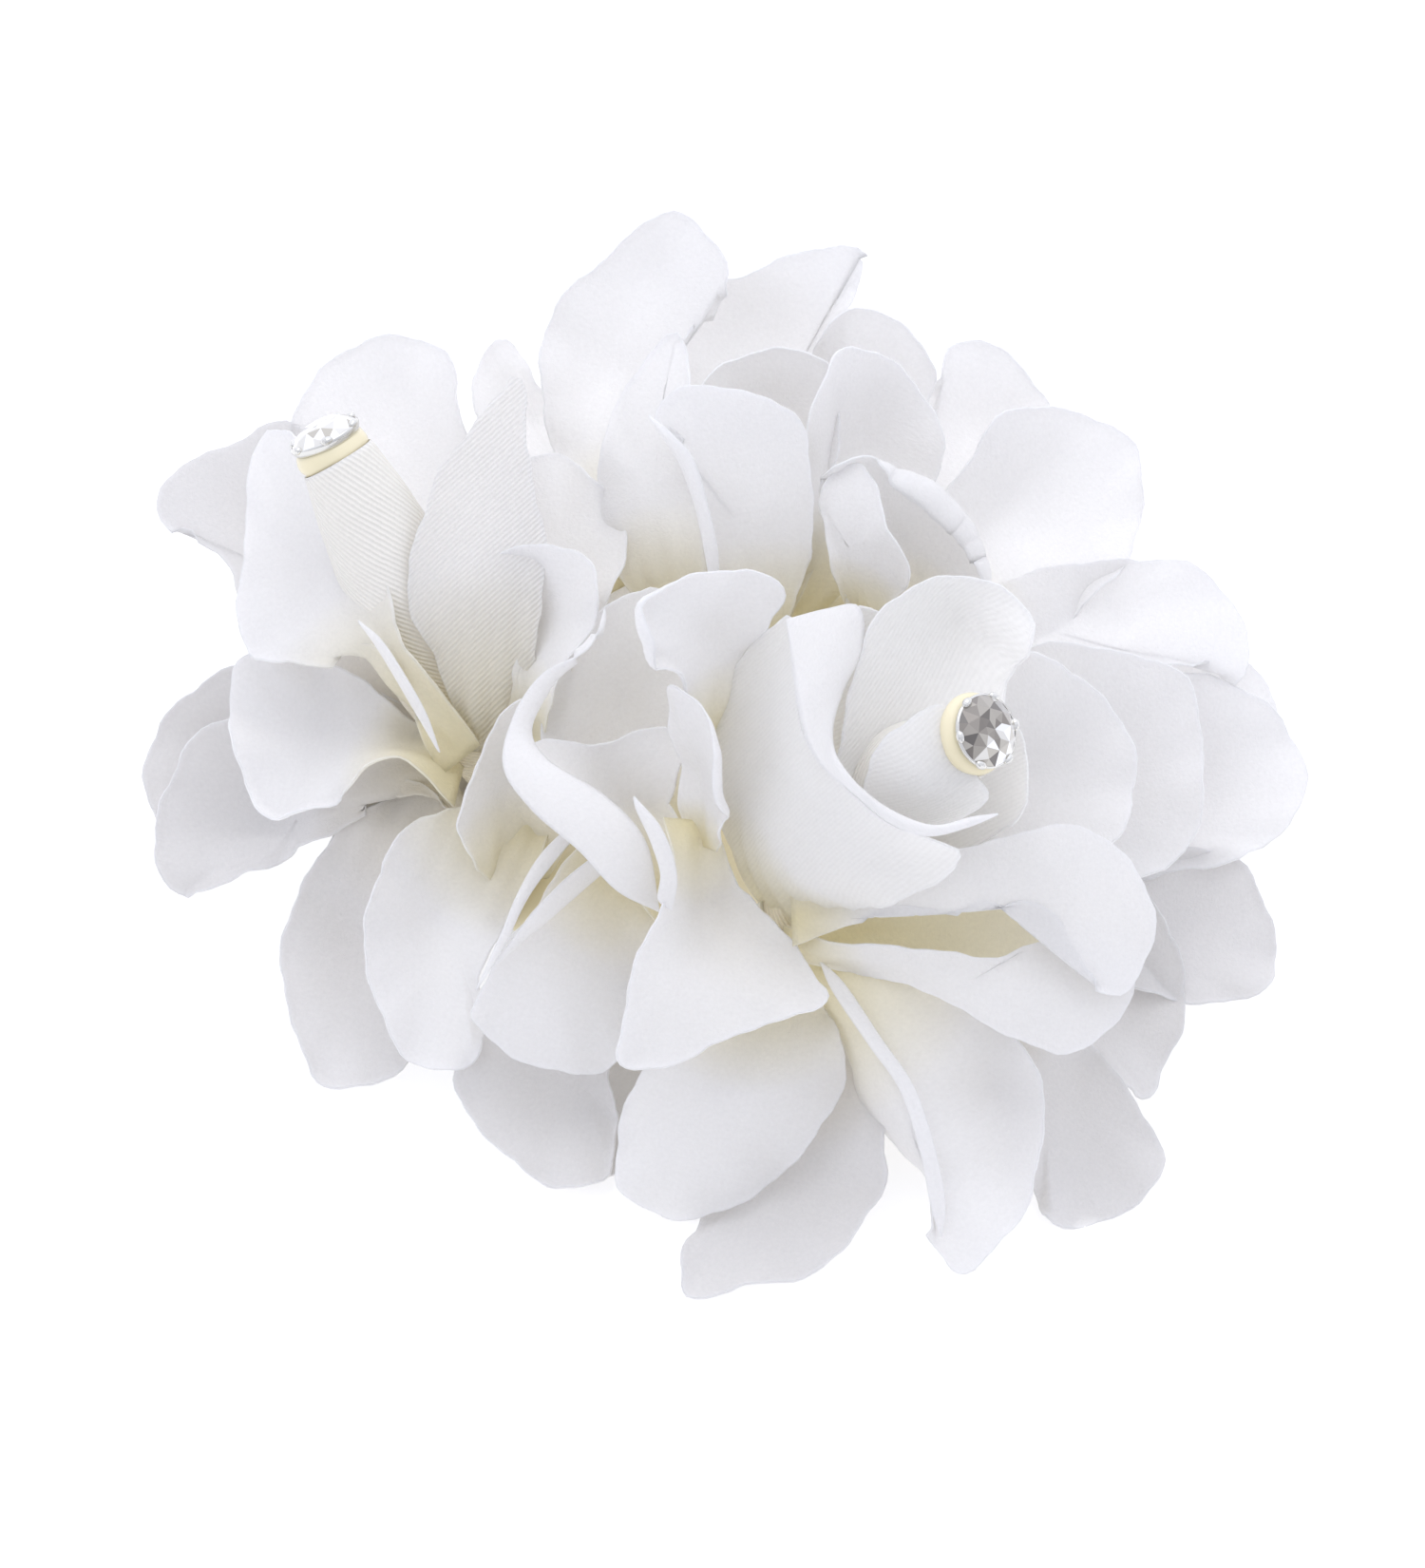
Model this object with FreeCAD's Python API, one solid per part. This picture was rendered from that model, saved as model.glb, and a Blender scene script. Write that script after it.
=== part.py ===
import FreeCAD, Part
import math
import os

# Hair clip carrying a spray of three white fabric flowers: rolled buds tipped with
# clear stones, heat-formed petals round them, hot glue on a felt disc, and a sprung
# alligator clip underneath.  +Z points away from the hair, +X along the clip, and the
# origin is the middle of the faces that grip the hair.

V = FreeCAD.Vector
os.makedirs("parts", exist_ok=True)

# ---------------------------------------------------------------- driving dimensions
spray_width = 111.0        # across the widest petals
petal_thickness = 0.5      # stiffened satin with its heat-set edge
petal_neck = 0.24          # neck width as a share of the widest place
stone_diameter = 7.2       # round crystal
clip_length = 50.0         # tip of the jaws to the end of the fixed arm
arm_width = 8.0            # fixed arm of the clip
arm_thickness = 0.8
jaw_width = 6.0            # toothed arm
jaw_thickness = 0.7
pin_radius = 1.0
pin_clearance = 0.05       # running fit of the jaw ears on the pin
pin_x = 8.0                # hinge, from the grip centre towards the tail
pin_z = -3.2
jaw_gap = 5.5              # height of the arched jaw under the fixed arm
tab_drop = 12.7            # depth of the finger tab below the grip plane
felt_thickness = 1.2
hub_height = 8.0           # where the petals leave their stem
stem_radius = 1.1
lean = 1.0                 # share of the full lean of the buds

# ---------------------------------------------------------------- sizes that follow
k = spray_width / 111.0
arm_bottom = 0.25
arm_top = arm_bottom + arm_thickness
arm_tip = -0.48 * clip_length
arm_tail = 0.52 * clip_length
felt_top = arm_top + felt_thickness
felt_radius = 20.5 * k
hub_z = max(hub_height * k, felt_top + 4.0)
stone_radius = stone_diameter / 2.0


def polar(angle, radius, height=0.0):
    a = math.radians(angle)
    return V(radius * math.cos(a), radius * math.sin(a), height)


def solid_of(shape):
    """The single solid of a shape, healed if a Boolean left it inside a compound."""
    return shape.Solids[0] if len(shape.Solids) == 1 else shape


def box(x0, x1, y0, y1, z0, z1):
    return Part.makeBox(x1 - x0, y1 - y0, z1 - z0, V(x0, y0, z0))


def rod(radius, y0, y1, x, z):
    return Part.makeCylinder(radius, y1 - y0, V(x, y0, z), V(0, 1, 0))


def revolved(points, smooth, angle=360.0, start=0.0):
    """Closed profile of (radius, height) points turned about the local Z axis."""
    pts = [V(r, 0, h) for r, h in points]
    if smooth:
        curve = Part.BSplineCurve()
        curve.interpolate(pts)
        closing = [pts[-1], V(0, 0, pts[-1].z), V(0, 0, pts[0].z), pts[0]]
        edges = [curve.toShape()]
        for a, b in zip(closing[:-1], closing[1:]):
            if a.distanceToPoint(b) > 1e-6:
                edges.append(Part.makeLine(a, b))
        face = Part.Face(Part.Wire(edges))
    else:
        face = Part.Face(Part.makePolygon(pts + [pts[0]]))
    solid = face.revolve(V(0, 0, 0), V(0, 0, 1), angle)
    solid.rotate(V(0, 0, 0), V(0, 0, 1), start)
    return solid


def shell_strip(points, thickness, angle, start):
    """Thin strip following (radius, height) points, turned part of the way round."""
    inner = [V(r, 0, h) for r, h in points]
    outer = [V(r + thickness, 0, h) for r, h in points]
    a = Part.BSplineCurve()
    a.interpolate(inner)
    b = Part.BSplineCurve()
    b.interpolate(outer)
    edges = [a.toShape(), Part.makeLine(inner[-1], outer[-1])]
    edges += [b.toShape(), Part.makeLine(outer[0], inner[0])]
    face = Part.Face(Part.Wire(Part.__sortEdges__(edges)))
    solid = face.revolve(V(0, 0, 0), V(0, 0, 1), angle)
    solid.rotate(V(0, 0, 0), V(0, 0, 1), start)
    return solid


# ---------------------------------------------------------------- petals
def half_width(t, neck=petal_neck):
    """Share of the full half width at a place t from neck (0) to tip (1)."""
    widest = 0.62
    if t < widest:
        return neck + (1.0 - neck) * math.sin(0.5 * math.pi * t / widest) ** 2
    return math.sqrt(max(0.0, 1.0 - ((t - widest) / (1.0 - widest)) ** 2))


def petal(hub, foot, neck_reach, belly, tip, width, cup, twist):
    """One heat-formed petal.  belly and tip are (angle, reach, height) from the hub,
    cup is how far the edges turn towards the bud, twist turns the face."""
    b0 = foot + polar(belly[0], neck_reach)
    b1 = hub + polar(belly[0], belly[1] * k, belly[2] * k)
    b2 = hub + polar(tip[0], tip[1] * k, tip[2] * k)
    mid = (b1 - b0 * 0.16 - b2 * 0.36) * (1.0 / 0.48)
    outward = polar(0.5 * (belly[0] + tip[0]), 1.0)
    around = V(0, 0, 1).cross(outward)
    wires = []
    for t in (0.0, 0.16, 0.32, 0.48, 0.62, 0.76, 0.88, 0.97):
        centre = b0 * (1 - t) ** 2 + mid * (2 * t * (1 - t)) + b2 * t ** 2
        along = (mid - b0) * (2 * (1 - t)) + (b2 - mid) * (2 * t)
        along.normalize()
        side = around - along * around.dot(along)
        side.normalize()
        face = along.cross(side)
        turn = math.radians(twist * t)
        across = side * math.cos(turn) + face * math.sin(turn)
        normal = face * math.cos(turn) - side * math.sin(turn)
        half = 0.5 * width * k * half_width(t)
        wires.append(section(centre, across, normal, half, math.radians(cup)))
    return solid_of(Part.makeLoft(wires, True, False))


def section(centre, across, normal, half, cup):
    """Closed thin outline of a petal cut across: a circular arc of constant length."""
    upper = []
    lower = []
    for i in range(-3, 4):
        s = i / 3.0
        a = cup * s
        x = half * math.sin(a) / cup
        y = half * (1 - math.cos(a)) / cup
        mid = centre + across * x + normal * y
        out = normal * math.cos(a) - across * math.sin(a)
        upper.append(mid + out * (0.5 * petal_thickness))
        lower.append(mid - out * (0.5 * petal_thickness))
    top = Part.BSplineCurve()
    top.interpolate(upper)
    bottom = Part.BSplineCurve()
    bottom.interpolate(lower[::-1])
    edges = [top.toShape(), Part.makeLine(upper[-1], lower[-1])]
    edges += [bottom.toShape(), Part.makeLine(lower[0], upper[0])]
    return Part.Wire(edges)


# ---------------------------------------------------------------- one flower
class Flower:
    """Stem, bud, stone and wraps on one leaning axis, petals round an upright one."""

    def __init__(self, name, x, y, bud_angle, bud_rise, bud_length, bud_radius, cover):
        self.name = name
        self.cover = cover
        self.hub = V(x * k, y * k, hub_z)
        self.length = bud_length * k
        self.radius = bud_radius * k
        rise = math.radians(90.0 - (90.0 - bud_rise) * lean)
        self.axis = polar(bud_angle, math.cos(rise), math.sin(rise))

    def placed(self, shape):
        shape.Placement = FreeCAD.Placement(
            self.hub, FreeCAD.Rotation(V(0, 0, 1), self.axis)
        ).multiply(shape.Placement)
        return shape

    def stem(self):
        """Plastic pip: a pin down into the glue, a collar under the petals."""
        pin = Part.makeCylinder(stem_radius, 13.0, V(0, 0, -5.0))
        collar = Part.makeCylinder(stem_radius + 1.1, 1.2, V(0, 0, -0.6))
        return self.placed(solid_of(pin.fuse(collar)))

    def bud(self):
        """Tightly rolled fabric cone, full in the middle, bored for the stem."""
        r = self.radius
        n = self.length
        tip = stone_radius * 0.92
        profile = [(r * 0.34, 2.2), (r * 0.8, n * 0.22), (r, n * 0.38)]
        profile += [(r * 0.86, n * 0.6), (tip * 1.05, n * 0.86), (tip, n)]
        body = revolved(profile, True)
        bore = Part.makeCylinder(stem_radius + 0.02, 9.0, V(0, 0, -1.0))
        return self.placed(solid_of(body.cut(bore)))

    def glue_dab(self):
        """Yellowish hot glue squeezed out between the bud and the setting."""
        n = self.length
        ring = [(0, n), (stone_radius * 0.97, n), (stone_radius * 1.08, n + 0.45)]
        ring += [(stone_radius * 0.95, n + 0.9), (0, n + 0.9)]
        return self.placed(revolved(ring, False))

    def stone_cup(self):
        """Pressed metal setting: a dish with four claws folded over the girdle."""
        z = self.length + 0.9
        r = stone_radius
        dish = [(0, z), (r * 0.72, z), (r + 0.35, z + 1.35), (r + 0.35, z + 1.75)]
        dish += [(r + 0.08, z + 1.75), (r * 0.66, z + 0.3), (0, z + 0.3)]
        cup = revolved(dish, False)
        for i in range(4):
            claw = box(r + 0.06, r + 0.35, -0.55, 0.55, z + 1.5, z + 2.55)
            claw.rotate(V(0, 0, 0), V(0, 0, 1), 45.0 + 90.0 * i)
            cup = cup.fuse(claw)
        return self.placed(solid_of(cup.removeSplitter()))

    def stone(self):
        """Round brilliant: table, crown, girdle and a pavilion down to a point."""
        z = self.length + 1.3
        r = stone_radius
        cut = [(0, z), (r, z + 1.75 * r / 3.6), (r, z + 1.95 * r / 3.6)]
        cut += [(r * 0.56, z + 2.9 * r / 3.6), (0, z + 2.9 * r / 3.6)]
        return self.placed(revolved(cut, False))

    def wraps(self, turns):
        """Petals rolled round the bud: (start angle, span, gap, foot, rim, flare)."""
        out = []
        for start, span, gap, foot, rim, flare in turns:
            r = self.radius
            n = self.length
            g = gap * k
            line = [(r * 0.36 + g, n * foot), (r * 0.88 + g, n * (foot + 0.16))]
            line += [(r * 1.02 + g, n * 0.5 * (foot + rim) + 0.5)]
            line += [(r * 0.96 + g + flare * k * 0.4, n * (rim - 0.12))]
            line += [(r * 0.98 + g + flare * k, n * rim)]
            strip = shell_strip(line, petal_thickness, span, start)
            out.append(self.placed(strip))
        return Part.makeCompound(out)

    def core(self):
        """Space taken by the bud and its wraps, with the slack the fabric keeps."""
        r = self.radius
        n = self.length
        gap, rim, flare = self.cover
        g = gap * k + petal_thickness + 0.3
        edge = g + flare * k
        line = [(0, n * 0.05), (r * 0.36 + g, n * 0.06), (r * 0.95 + g, n * 0.24)]
        line += [(r * 1.06 + g, n * 0.5 * (0.1 + rim)), (r * 1.0 + edge, n * rim + 0.4)]
        line += [(r * 0.8 + 0.4, n * rim + 0.6), (stone_radius + 0.8, n), (0, n + 0.1)]
        return self.placed(revolved(line, False))

    def layer(self, base, rows):
        """A whorl of petals whose necks meet the stem; none runs through the bud."""
        neck_reach, rise = base
        foot = self.hub + self.axis * rise
        core = self.core()
        made = []
        for belly, tip, width, cup, twist in rows:
            leaf = petal(self.hub, foot, neck_reach, belly, tip, width, cup, twist)
            if leaf.distToShape(core)[0] < 1e-6:
                leaf = max(leaf.cut(core).Solids, key=lambda part: part.Volume)
            made.append(leaf)
        return Part.makeCompound(made)


# where each flower stands on the felt and how its bud leans; the cover is the
# outermost wrap: its gap to the bud, the height of its rim and its flare
left = Flower("left", -16.7, 1.2, 128.0, 46.0, 33.0, 5.6, (0.7, 0.55, 0.6))
right = Flower("right", 10.3, -16.3, -7.0, 57.0, 32.5, 7.6, (2.0, 0.86, 1.2))
top = Flower("top", 6.3, 15.2, 76.0, 72.0, 23.0, 6.0, (0.7, 1.3, 1.6))

# layers of petals: belly (angle, reach, height), tip (angle, reach, height),
# width, cup, twist
layers = {
    "left_outer_petals": (left, (3.5, -1.8), [
        ((124, 33, 0), (137, 43, 3), 13, 20, 0),
        ((162, 24, -9), (157, 37, -14), 14, 20, 0),
        ((181, 20, -8), (177, 32, -16), 14, 20, 0),
        ((224, 18, -9), (234, 29, -20.6), 14, 20, 0),
    ]),
    "left_inner_petals": (left, (2.9, 0.2), [
        ((102, 28, 5), (104, 40, 15), 19, 25, 0),
        ((134, 20, 4), (134, 32, 9), 17, 25, 0),
        ((176, 15, 1), (172, 25, 0), 15, 30, 0),
        ((252, 17, -4), (257, 26, -12), 13, 25, 0),
    ]),
    "left_wrap_petals": (left, (3.1, 2.0), [
        ((108, 9, 18), (86, 21, 32), 13, 45, 0),
        ((58, 14, 12), (64, 17, 25), 12, 35, 0),
    ]),
    "right_outer_petals": (right, (3.4, -3.0), [
        ((19, 42, -5), (20, 54, -7), 19, 15, 0),
        ((8, 34, -9), (7, 47, -15), 13, 15, 0),
        ((354, 25, -9), (346, 37, -17), 14, 20, 0),
        ((330, 26, -11), (332, 41, -19), 14, 20, 0),
        ((277, 20, -13), (262, 31, -20.6), 18, 15, 0),
        ((221, 18, -10), (217, 29, -20), 15, 15, 0),
    ]),
    "right_middle_petals": (right, (2.9, 0.2), [
        ((17, 33, 6), (17, 43, 8), 18, 20, 0),
        ((306, 22, -6), (303, 33, -17), 17, 25, 0),
        ((260, 19, -4), (246, 28, -13), 20, 20, 0),
        ((193, 16, -1), (199, 26, -10), 14, 25, 0),
    ]),
    "right_inner_petals": (right, (3.3, 1.4), [
        ((15, 27, 11), (12, 34, 15), 18, 25, 0),
        ((331, 18, 5), (345, 34, 7), 18, 35, 0),
        ((244, 11, 4), (244, 20, 0), 18, 20, 0),
        ((158, 16, 9), (142, 26, 17), 16, 45, 0),
        ((132, 11, 17), (108, 20, 24), 14, 35, 0),
    ]),
    "top_outer_petals": (top, (2.9, -1.8), [
        ((4, 33, 3), (6, 48, 0), 16, 15, 0),
        ((52, 27, 3), (49, 39, 12), 15, 20, 0),
        ((124, 27, 4), (129, 36, 12), 12, 20, 0),
        ((78, 25, 6), (70, 38, 16), 16, 20, 0),
    ]),
    "top_inner_petals": (top, (2.9, 0.2), [
        ((17, 26, 8), (24, 41, 12), 19, 20, 0),
        ((113, 23, 12), (102, 34, 26), 17, 25, 0),
        ((66, 24, 9), (62, 33, 19), 13, 25, 0),
    ]),
    "top_wrap_petals": (top, (3.1, 2.0), [
        ((39, 16, 18), (45, 21, 28), 14, 40, 0),
        ((359, 15, 16), (6, 18, 27), 15, 30, 0),
        ((133, 13, 14), (117, 18, 28), 10, 40, 0),
    ]),
}

# petals rolled round the buds: start angle, span, gap, foot, rim, flare
bud_wraps = {
    "left_bud_wrap": (left, [(250.0, 170.0, 0.7, 0.10, 0.55, 0.6)]),
    "right_bud_wrap": (right, [(20.0, 235.0, 1.0, 0.10, 0.86, 0.3),
                               (130.0, 235.0, 2.0, 0.08, 0.74, 1.2)]),
    "top_bud_wrap": (top, [(150.0, 250.0, 0.7, 0.10, 1.3, 1.6)]),
}


# ---------------------------------------------------------------- backing
def felt_base():
    return Part.makeCylinder(felt_radius, felt_thickness, V(0, 0, arm_top))


def felt_patch():
    """Second felt strip glued over the fixed arm: it holds the clip to the disc."""
    depth = 0.9
    half = arm_width / 2.0 + 4.0
    strip = box(-0.26 * clip_length, -0.04 * clip_length, -half, half,
                arm_bottom - depth, arm_top)
    channel = box(-clip_length, clip_length, -arm_width / 2.0, arm_width / 2.0,
                  arm_bottom, arm_top)
    return solid_of(strip.cut(channel))


def glue_mound(stems):
    """Cooled hot glue: a low dome on the disc, drawn up round each stem."""
    rise = hub_z - 3.6 - felt_top
    dome = Part.makeCone(felt_radius * 0.95, felt_radius * 0.62, rise * 0.55,
                         V(0, 0, felt_top))
    for f in (left, right, top):
        foot = V(f.hub.x, f.hub.y, felt_top) * 1.0
        foot.x *= 0.93
        foot.y *= 0.93
        dome = dome.fuse(Part.makeCone(4.6, 2.7, rise, foot))
    for s in stems:
        dome = dome.cut(s)
    return solid_of(dome)


# ---------------------------------------------------------------- clip
def clip_arm():
    """Fixed arm: a flat strip with two ears folded down for the pin."""
    half = arm_width / 2.0
    plate = box(arm_tip, arm_tail, -half, half, arm_bottom, arm_top)
    ear_in = jaw_width / 2.0 + 0.65
    ear_r = pin_radius + 1.6
    body = plate
    for s in (-1, 1):
        y0 = min(s * ear_in, s * (ear_in + 0.7))
        web = box(pin_x - ear_r, pin_x + ear_r, y0, y0 + 0.7, pin_z, arm_bottom + 0.2)
        eye = rod(ear_r, y0, y0 + 0.7, pin_x, pin_z)
        body = body.fuse(web).fuse(eye)
    body = body.cut(rod(pin_radius, -half - 2, half + 2, pin_x, pin_z))
    return solid_of(body.removeSplitter())


def jaw_line():
    """Centre line of the moving arm seen from the side, tip to finger tab."""
    tip = V(arm_tip, 0, -0.75)
    arch = V(0.5 * (arm_tip + pin_x), 0, -jaw_gap)
    heel = V(pin_x - 1.0, 0, pin_z - pin_radius - 1.2)
    bend = V(pin_x + 4.0, 0, pin_z - pin_radius - 1.8)
    tab = V(arm_tail, 0, -tab_drop + 0.4)
    return tip, arch, heel, bend, tab


def clip_jaw():
    """Moving arm: arched strip with saw teeth, ears on the pin and a finger tab."""
    tip, arch, heel, bend, tab = jaw_line()
    t = jaw_thickness
    low = V(0, 0, -t)
    top_curve = Part.BSplineCurve()
    top_curve.interpolate([tip, V(tip.x * 0.72 + arch.x * 0.28, 0, -2.4), arch, heel])
    low_curve = Part.BSplineCurve()
    low_curve.interpolate([heel + low, arch + low,
                           V(tip.x * 0.72 + arch.x * 0.28, 0, -2.4) + low, tip + low])
    edges = [top_curve.toShape(), Part.makeLine(heel, bend), Part.makeLine(bend, tab)]
    edges += [Part.makeLine(tab, tab + low), Part.makeLine(tab + low, bend + low)]
    edges += [Part.makeLine(bend + low, heel + low), low_curve.toShape()]
    edges += [Part.makeLine(tip + low, tip)]
    face = Part.Face(Part.Wire(edges))
    half = jaw_width / 2.0
    face.translate(V(0, -half, 0))
    strip = face.extrude(V(0, 2 * half, 0))
    ear_r = pin_radius + 1.4
    for s in (-1, 1):
        y0 = s * half - (0.7 if s > 0 else 0.0)
        eye = rod(ear_r, y0, y0 + 0.7, pin_x, pin_z)
        web = box(pin_x - ear_r, pin_x + ear_r, y0, y0 + 0.7, heel.z - 0.3 * t, pin_z)
        strip = strip.fuse(eye).fuse(web)
        for i in range(9):
            strip = strip.fuse(tooth(arm_tip + 0.4 + 1.7 * i, s * (half - 0.35)))
    strip = strip.cut(rod(pin_radius + pin_clearance, -half - 1, half + 1, pin_x, pin_z))
    return solid_of(strip.removeSplitter())


def tooth(x, y):
    """One saw tooth standing on the edge of the jaw."""
    tip, arch = jaw_line()[:2]
    share = (x - tip.x) / (arch.x - tip.x)
    z = tip.z + (arch.z - tip.z) * min(1.0, 1.25 * share)
    pts = [V(x, y - 0.35, z - 0.9), V(x + 1.5, y - 0.35, z - 1.3)]
    pts += [V(x + 0.5, y - 0.35, z + 0.75), V(x, y - 0.35, z - 0.9)]
    return Part.Face(Part.makePolygon(pts)).extrude(V(0, 0.7, 0))


def hinge_pin():
    """Rivet pin: its heads close over the outside of the fixed ears."""
    reach = jaw_width / 2.0 + 1.35
    pin = rod(pin_radius, -reach, reach, pin_x, pin_z)
    for y0 in (-reach - 0.5, reach):
        pin = pin.fuse(rod(pin_radius + 0.45, y0, y0 + 0.5, pin_x, pin_z))
    return solid_of(pin.removeSplitter())


def torsion_spring():
    """Wire coiled round the pin with a leg against each arm."""
    wire = 0.3
    coil_r = pin_radius + 0.2 + wire
    turns = 4
    pitch = 0.75
    y0 = -0.5 * turns * pitch
    helix = Part.makeHelix(pitch, turns * pitch, coil_r)
    ring = Part.Wire(Part.makeCircle(wire, V(coil_r, 0, 0), V(0, 1, 0)))
    coil = Part.Wire(helix).makePipeShell([ring], True, True)
    coil.rotate(V(0, 0, 0), V(1, 0, 0), -90.0)
    coil.translate(V(pin_x, y0, pin_z))
    reach = 6.5
    legs = [(V(pin_x + coil_r, y0, pin_z), V(pin_x + reach, y0, arm_bottom - 0.7))]
    legs += [(V(pin_x + coil_r, -y0, pin_z), V(pin_x + reach, -y0, pin_z - 2.6))]
    for a, b in legs:
        coil = coil.fuse(Part.makeCylinder(wire, a.distanceToPoint(b), a, b - a))
    return solid_of(coil)


def save(name, shape):
    shape.exportStep("parts/" + name + ".step")


stems = []
for f in (left, right, top):
    stem = f.stem()
    stems.append(stem)
    save(f.name + "_stem", stem)
    save(f.name + "_bud", f.bud())
    save(f.name + "_stone_glue", f.glue_dab())
    save(f.name + "_stone_cup", f.stone_cup())
    save(f.name + "_stone", f.stone())
for node, (f, base, rows) in layers.items():
    save(node, f.layer(base, rows))
for node, (f, turns) in bud_wraps.items():
    save(node, f.wraps(turns))
save("felt_base", felt_base())
save("felt_patch", felt_patch())
save("hot_glue_mound", glue_mound(stems))
save("clip_arm", clip_arm())
save("clip_jaw", clip_jaw())
save("hinge_pin", hinge_pin())
save("torsion_spring", torsion_spring())
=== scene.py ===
import math
import random

import bpy
import numpy as np
from bpy.props import FloatProperty, IntProperty, PointerProperty
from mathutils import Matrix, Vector


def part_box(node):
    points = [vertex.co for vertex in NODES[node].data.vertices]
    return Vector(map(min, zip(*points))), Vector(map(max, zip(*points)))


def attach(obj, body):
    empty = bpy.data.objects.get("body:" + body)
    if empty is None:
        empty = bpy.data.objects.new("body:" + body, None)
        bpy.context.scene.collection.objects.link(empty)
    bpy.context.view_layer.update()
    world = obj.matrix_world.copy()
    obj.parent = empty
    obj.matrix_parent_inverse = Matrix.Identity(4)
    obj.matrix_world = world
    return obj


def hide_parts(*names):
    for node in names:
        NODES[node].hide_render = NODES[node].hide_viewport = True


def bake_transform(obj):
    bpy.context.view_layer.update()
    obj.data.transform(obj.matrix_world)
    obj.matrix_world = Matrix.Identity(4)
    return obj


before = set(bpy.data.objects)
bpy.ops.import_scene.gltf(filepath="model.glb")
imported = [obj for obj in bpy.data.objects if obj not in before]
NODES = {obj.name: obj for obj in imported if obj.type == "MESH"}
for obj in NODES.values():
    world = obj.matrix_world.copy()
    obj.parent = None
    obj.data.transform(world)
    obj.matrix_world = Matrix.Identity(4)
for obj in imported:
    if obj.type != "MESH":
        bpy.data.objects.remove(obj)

bl_info = {
    "name": "Flower hair clip",
    "version": (1, 0, 0),
    "blender": (4, 5, 0),
    "location": "3D View > Sidebar > Hair clip",
    "description": "Three satin flowers with stone-tipped buds on a felt-backed alligator clip",
    "category": "Object",
}

FACE_LEAN = math.radians(50)      # how far the spray's face leans back from upright
SIN, COS = math.sin(FACE_LEAN), math.cos(FACE_LEAN)


# ---------------------------------------------------------------- small helpers
def place(points):
    """Millimetres across, up and out of the spray's face, as metres in the frame."""
    p = np.asarray(points, float)
    x, up, out = p[..., 0], p[..., 1], p[..., 2]
    return np.stack([x, up * SIN - out * COS, up * COS + out * SIN], -1) * 0.001


def unit(v):
    """The vector at length one."""
    v = np.asarray(v, float)
    return v / max(np.linalg.norm(v), 1e-9)


def colour(hex_code):
    """An sRGB hex code as linear red, green, blue and one."""
    parts = [int(hex_code[i:i + 2], 16) / 255 for i in (1, 3, 5)]
    return tuple(c / 12.92 if c <= 0.04045 else ((c + 0.055) / 1.055) ** 2.4 for c in parts) + (1.0,)


def mesh_object(name, verts, faces, uvs=None, floats=None, smooth=True):
    """A mesh object at the origin from vertices in metres, with per-point UVs and float attributes."""
    mesh = bpy.data.meshes.new(name)
    mesh.from_pydata([tuple(v) for v in verts], [], [tuple(int(i) for i in f) for f in faces])
    if uvs is not None:
        layer = mesh.uv_layers.new(name="cloth")
        index = np.zeros(len(mesh.loops), int)
        mesh.loops.foreach_get("vertex_index", index)
        layer.data.foreach_set("uv", np.asarray(uvs, np.float32)[index].ravel())
    for key, values in (floats or {}).items():
        mesh.attributes.new(key, "FLOAT", "POINT").data.foreach_set("value", np.asarray(values, np.float32))
    if smooth:
        mesh.shade_smooth()
    else:
        mesh.shade_flat()
    mesh.validate()
    obj = bpy.data.objects.new(name, mesh)
    bpy.context.scene.collection.objects.link(obj)
    return obj


def paint(obj, material):
    """Gives an object one material."""
    obj.data.materials.clear()
    obj.data.materials.append(material)
    return obj


def thicken(obj, thickness):
    """A live shell of even thickness round a single-layer sheet."""
    shell = obj.modifiers.new("thickness", "SOLIDIFY")
    shell.thickness, shell.offset, shell.use_rim = thickness, 0.0, True
    return obj


def belongs(obj, body, slot, *cad_nodes):
    """Ties a piece to its moving body and the plain solids it stands for, which it hides; slot, its finish,
    is not used.
    """
    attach(obj, body)
    if cad_nodes:
        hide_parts(*cad_nodes)
    return obj


# ---------------------------------------------------------------- materials
def new_tree(name):
    """A material's empty node tree with its output, and the material."""
    mat = bpy.data.materials.new(name)
    mat.use_nodes = True
    tree = mat.node_tree
    tree.nodes.clear()
    return mat, tree


def node(tree, kind, settings=None, **links):
    """Adds a node; links give an input's name or index (as i0, i1) a value or another node's socket."""
    made = tree.nodes.new(kind)
    for key, value in (settings or {}).items():
        setattr(made, key, value)
    for key, value in links.items():
        socket = made.inputs[int(key[1:])] if key[0] == "i" and key[1:].isdigit() \
            else made.inputs[key.replace("_", " ")]
        if isinstance(value, bpy.types.NodeSocket):
            tree.links.new(value, socket)
        else:
            socket.default_value = value
    return made


def math_node(tree, operation, a, b=0.0, c=0.0, clamp=False):
    """One Math node's value."""
    return node(tree, "ShaderNodeMath", {"operation": operation, "use_clamp": clamp},
                i0=a, i1=b, i2=c).outputs[0]


def mix_colour(tree, amount, a, b):
    """Two colours mixed by an amount."""
    made = node(tree, "ShaderNodeMix", {"data_type": "RGBA"}, i0=amount, i6=a, i7=b)
    return made.outputs[2]


def attribute(tree, name):
    """A float attribute of the piece."""
    return node(tree, "ShaderNodeAttribute", {"attribute_name": name}).outputs["Fac"]


def finish_shader(tree, surface):
    """Links the surface to the material's output."""
    node(tree, "ShaderNodeOutputMaterial", None, Surface=surface)


def darkened(tree, base, shade):
    """A colour times a grey shade."""
    grey = node(tree, "ShaderNodeCombineColor", None, i0=shade, i1=shade, i2=shade).outputs[0]
    kind = {"data_type": "RGBA", "blend_type": "MULTIPLY"}
    return node(tree, "ShaderNodeMix", kind, i0=1.0, i6=base, i7=grey).outputs[2]


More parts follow.
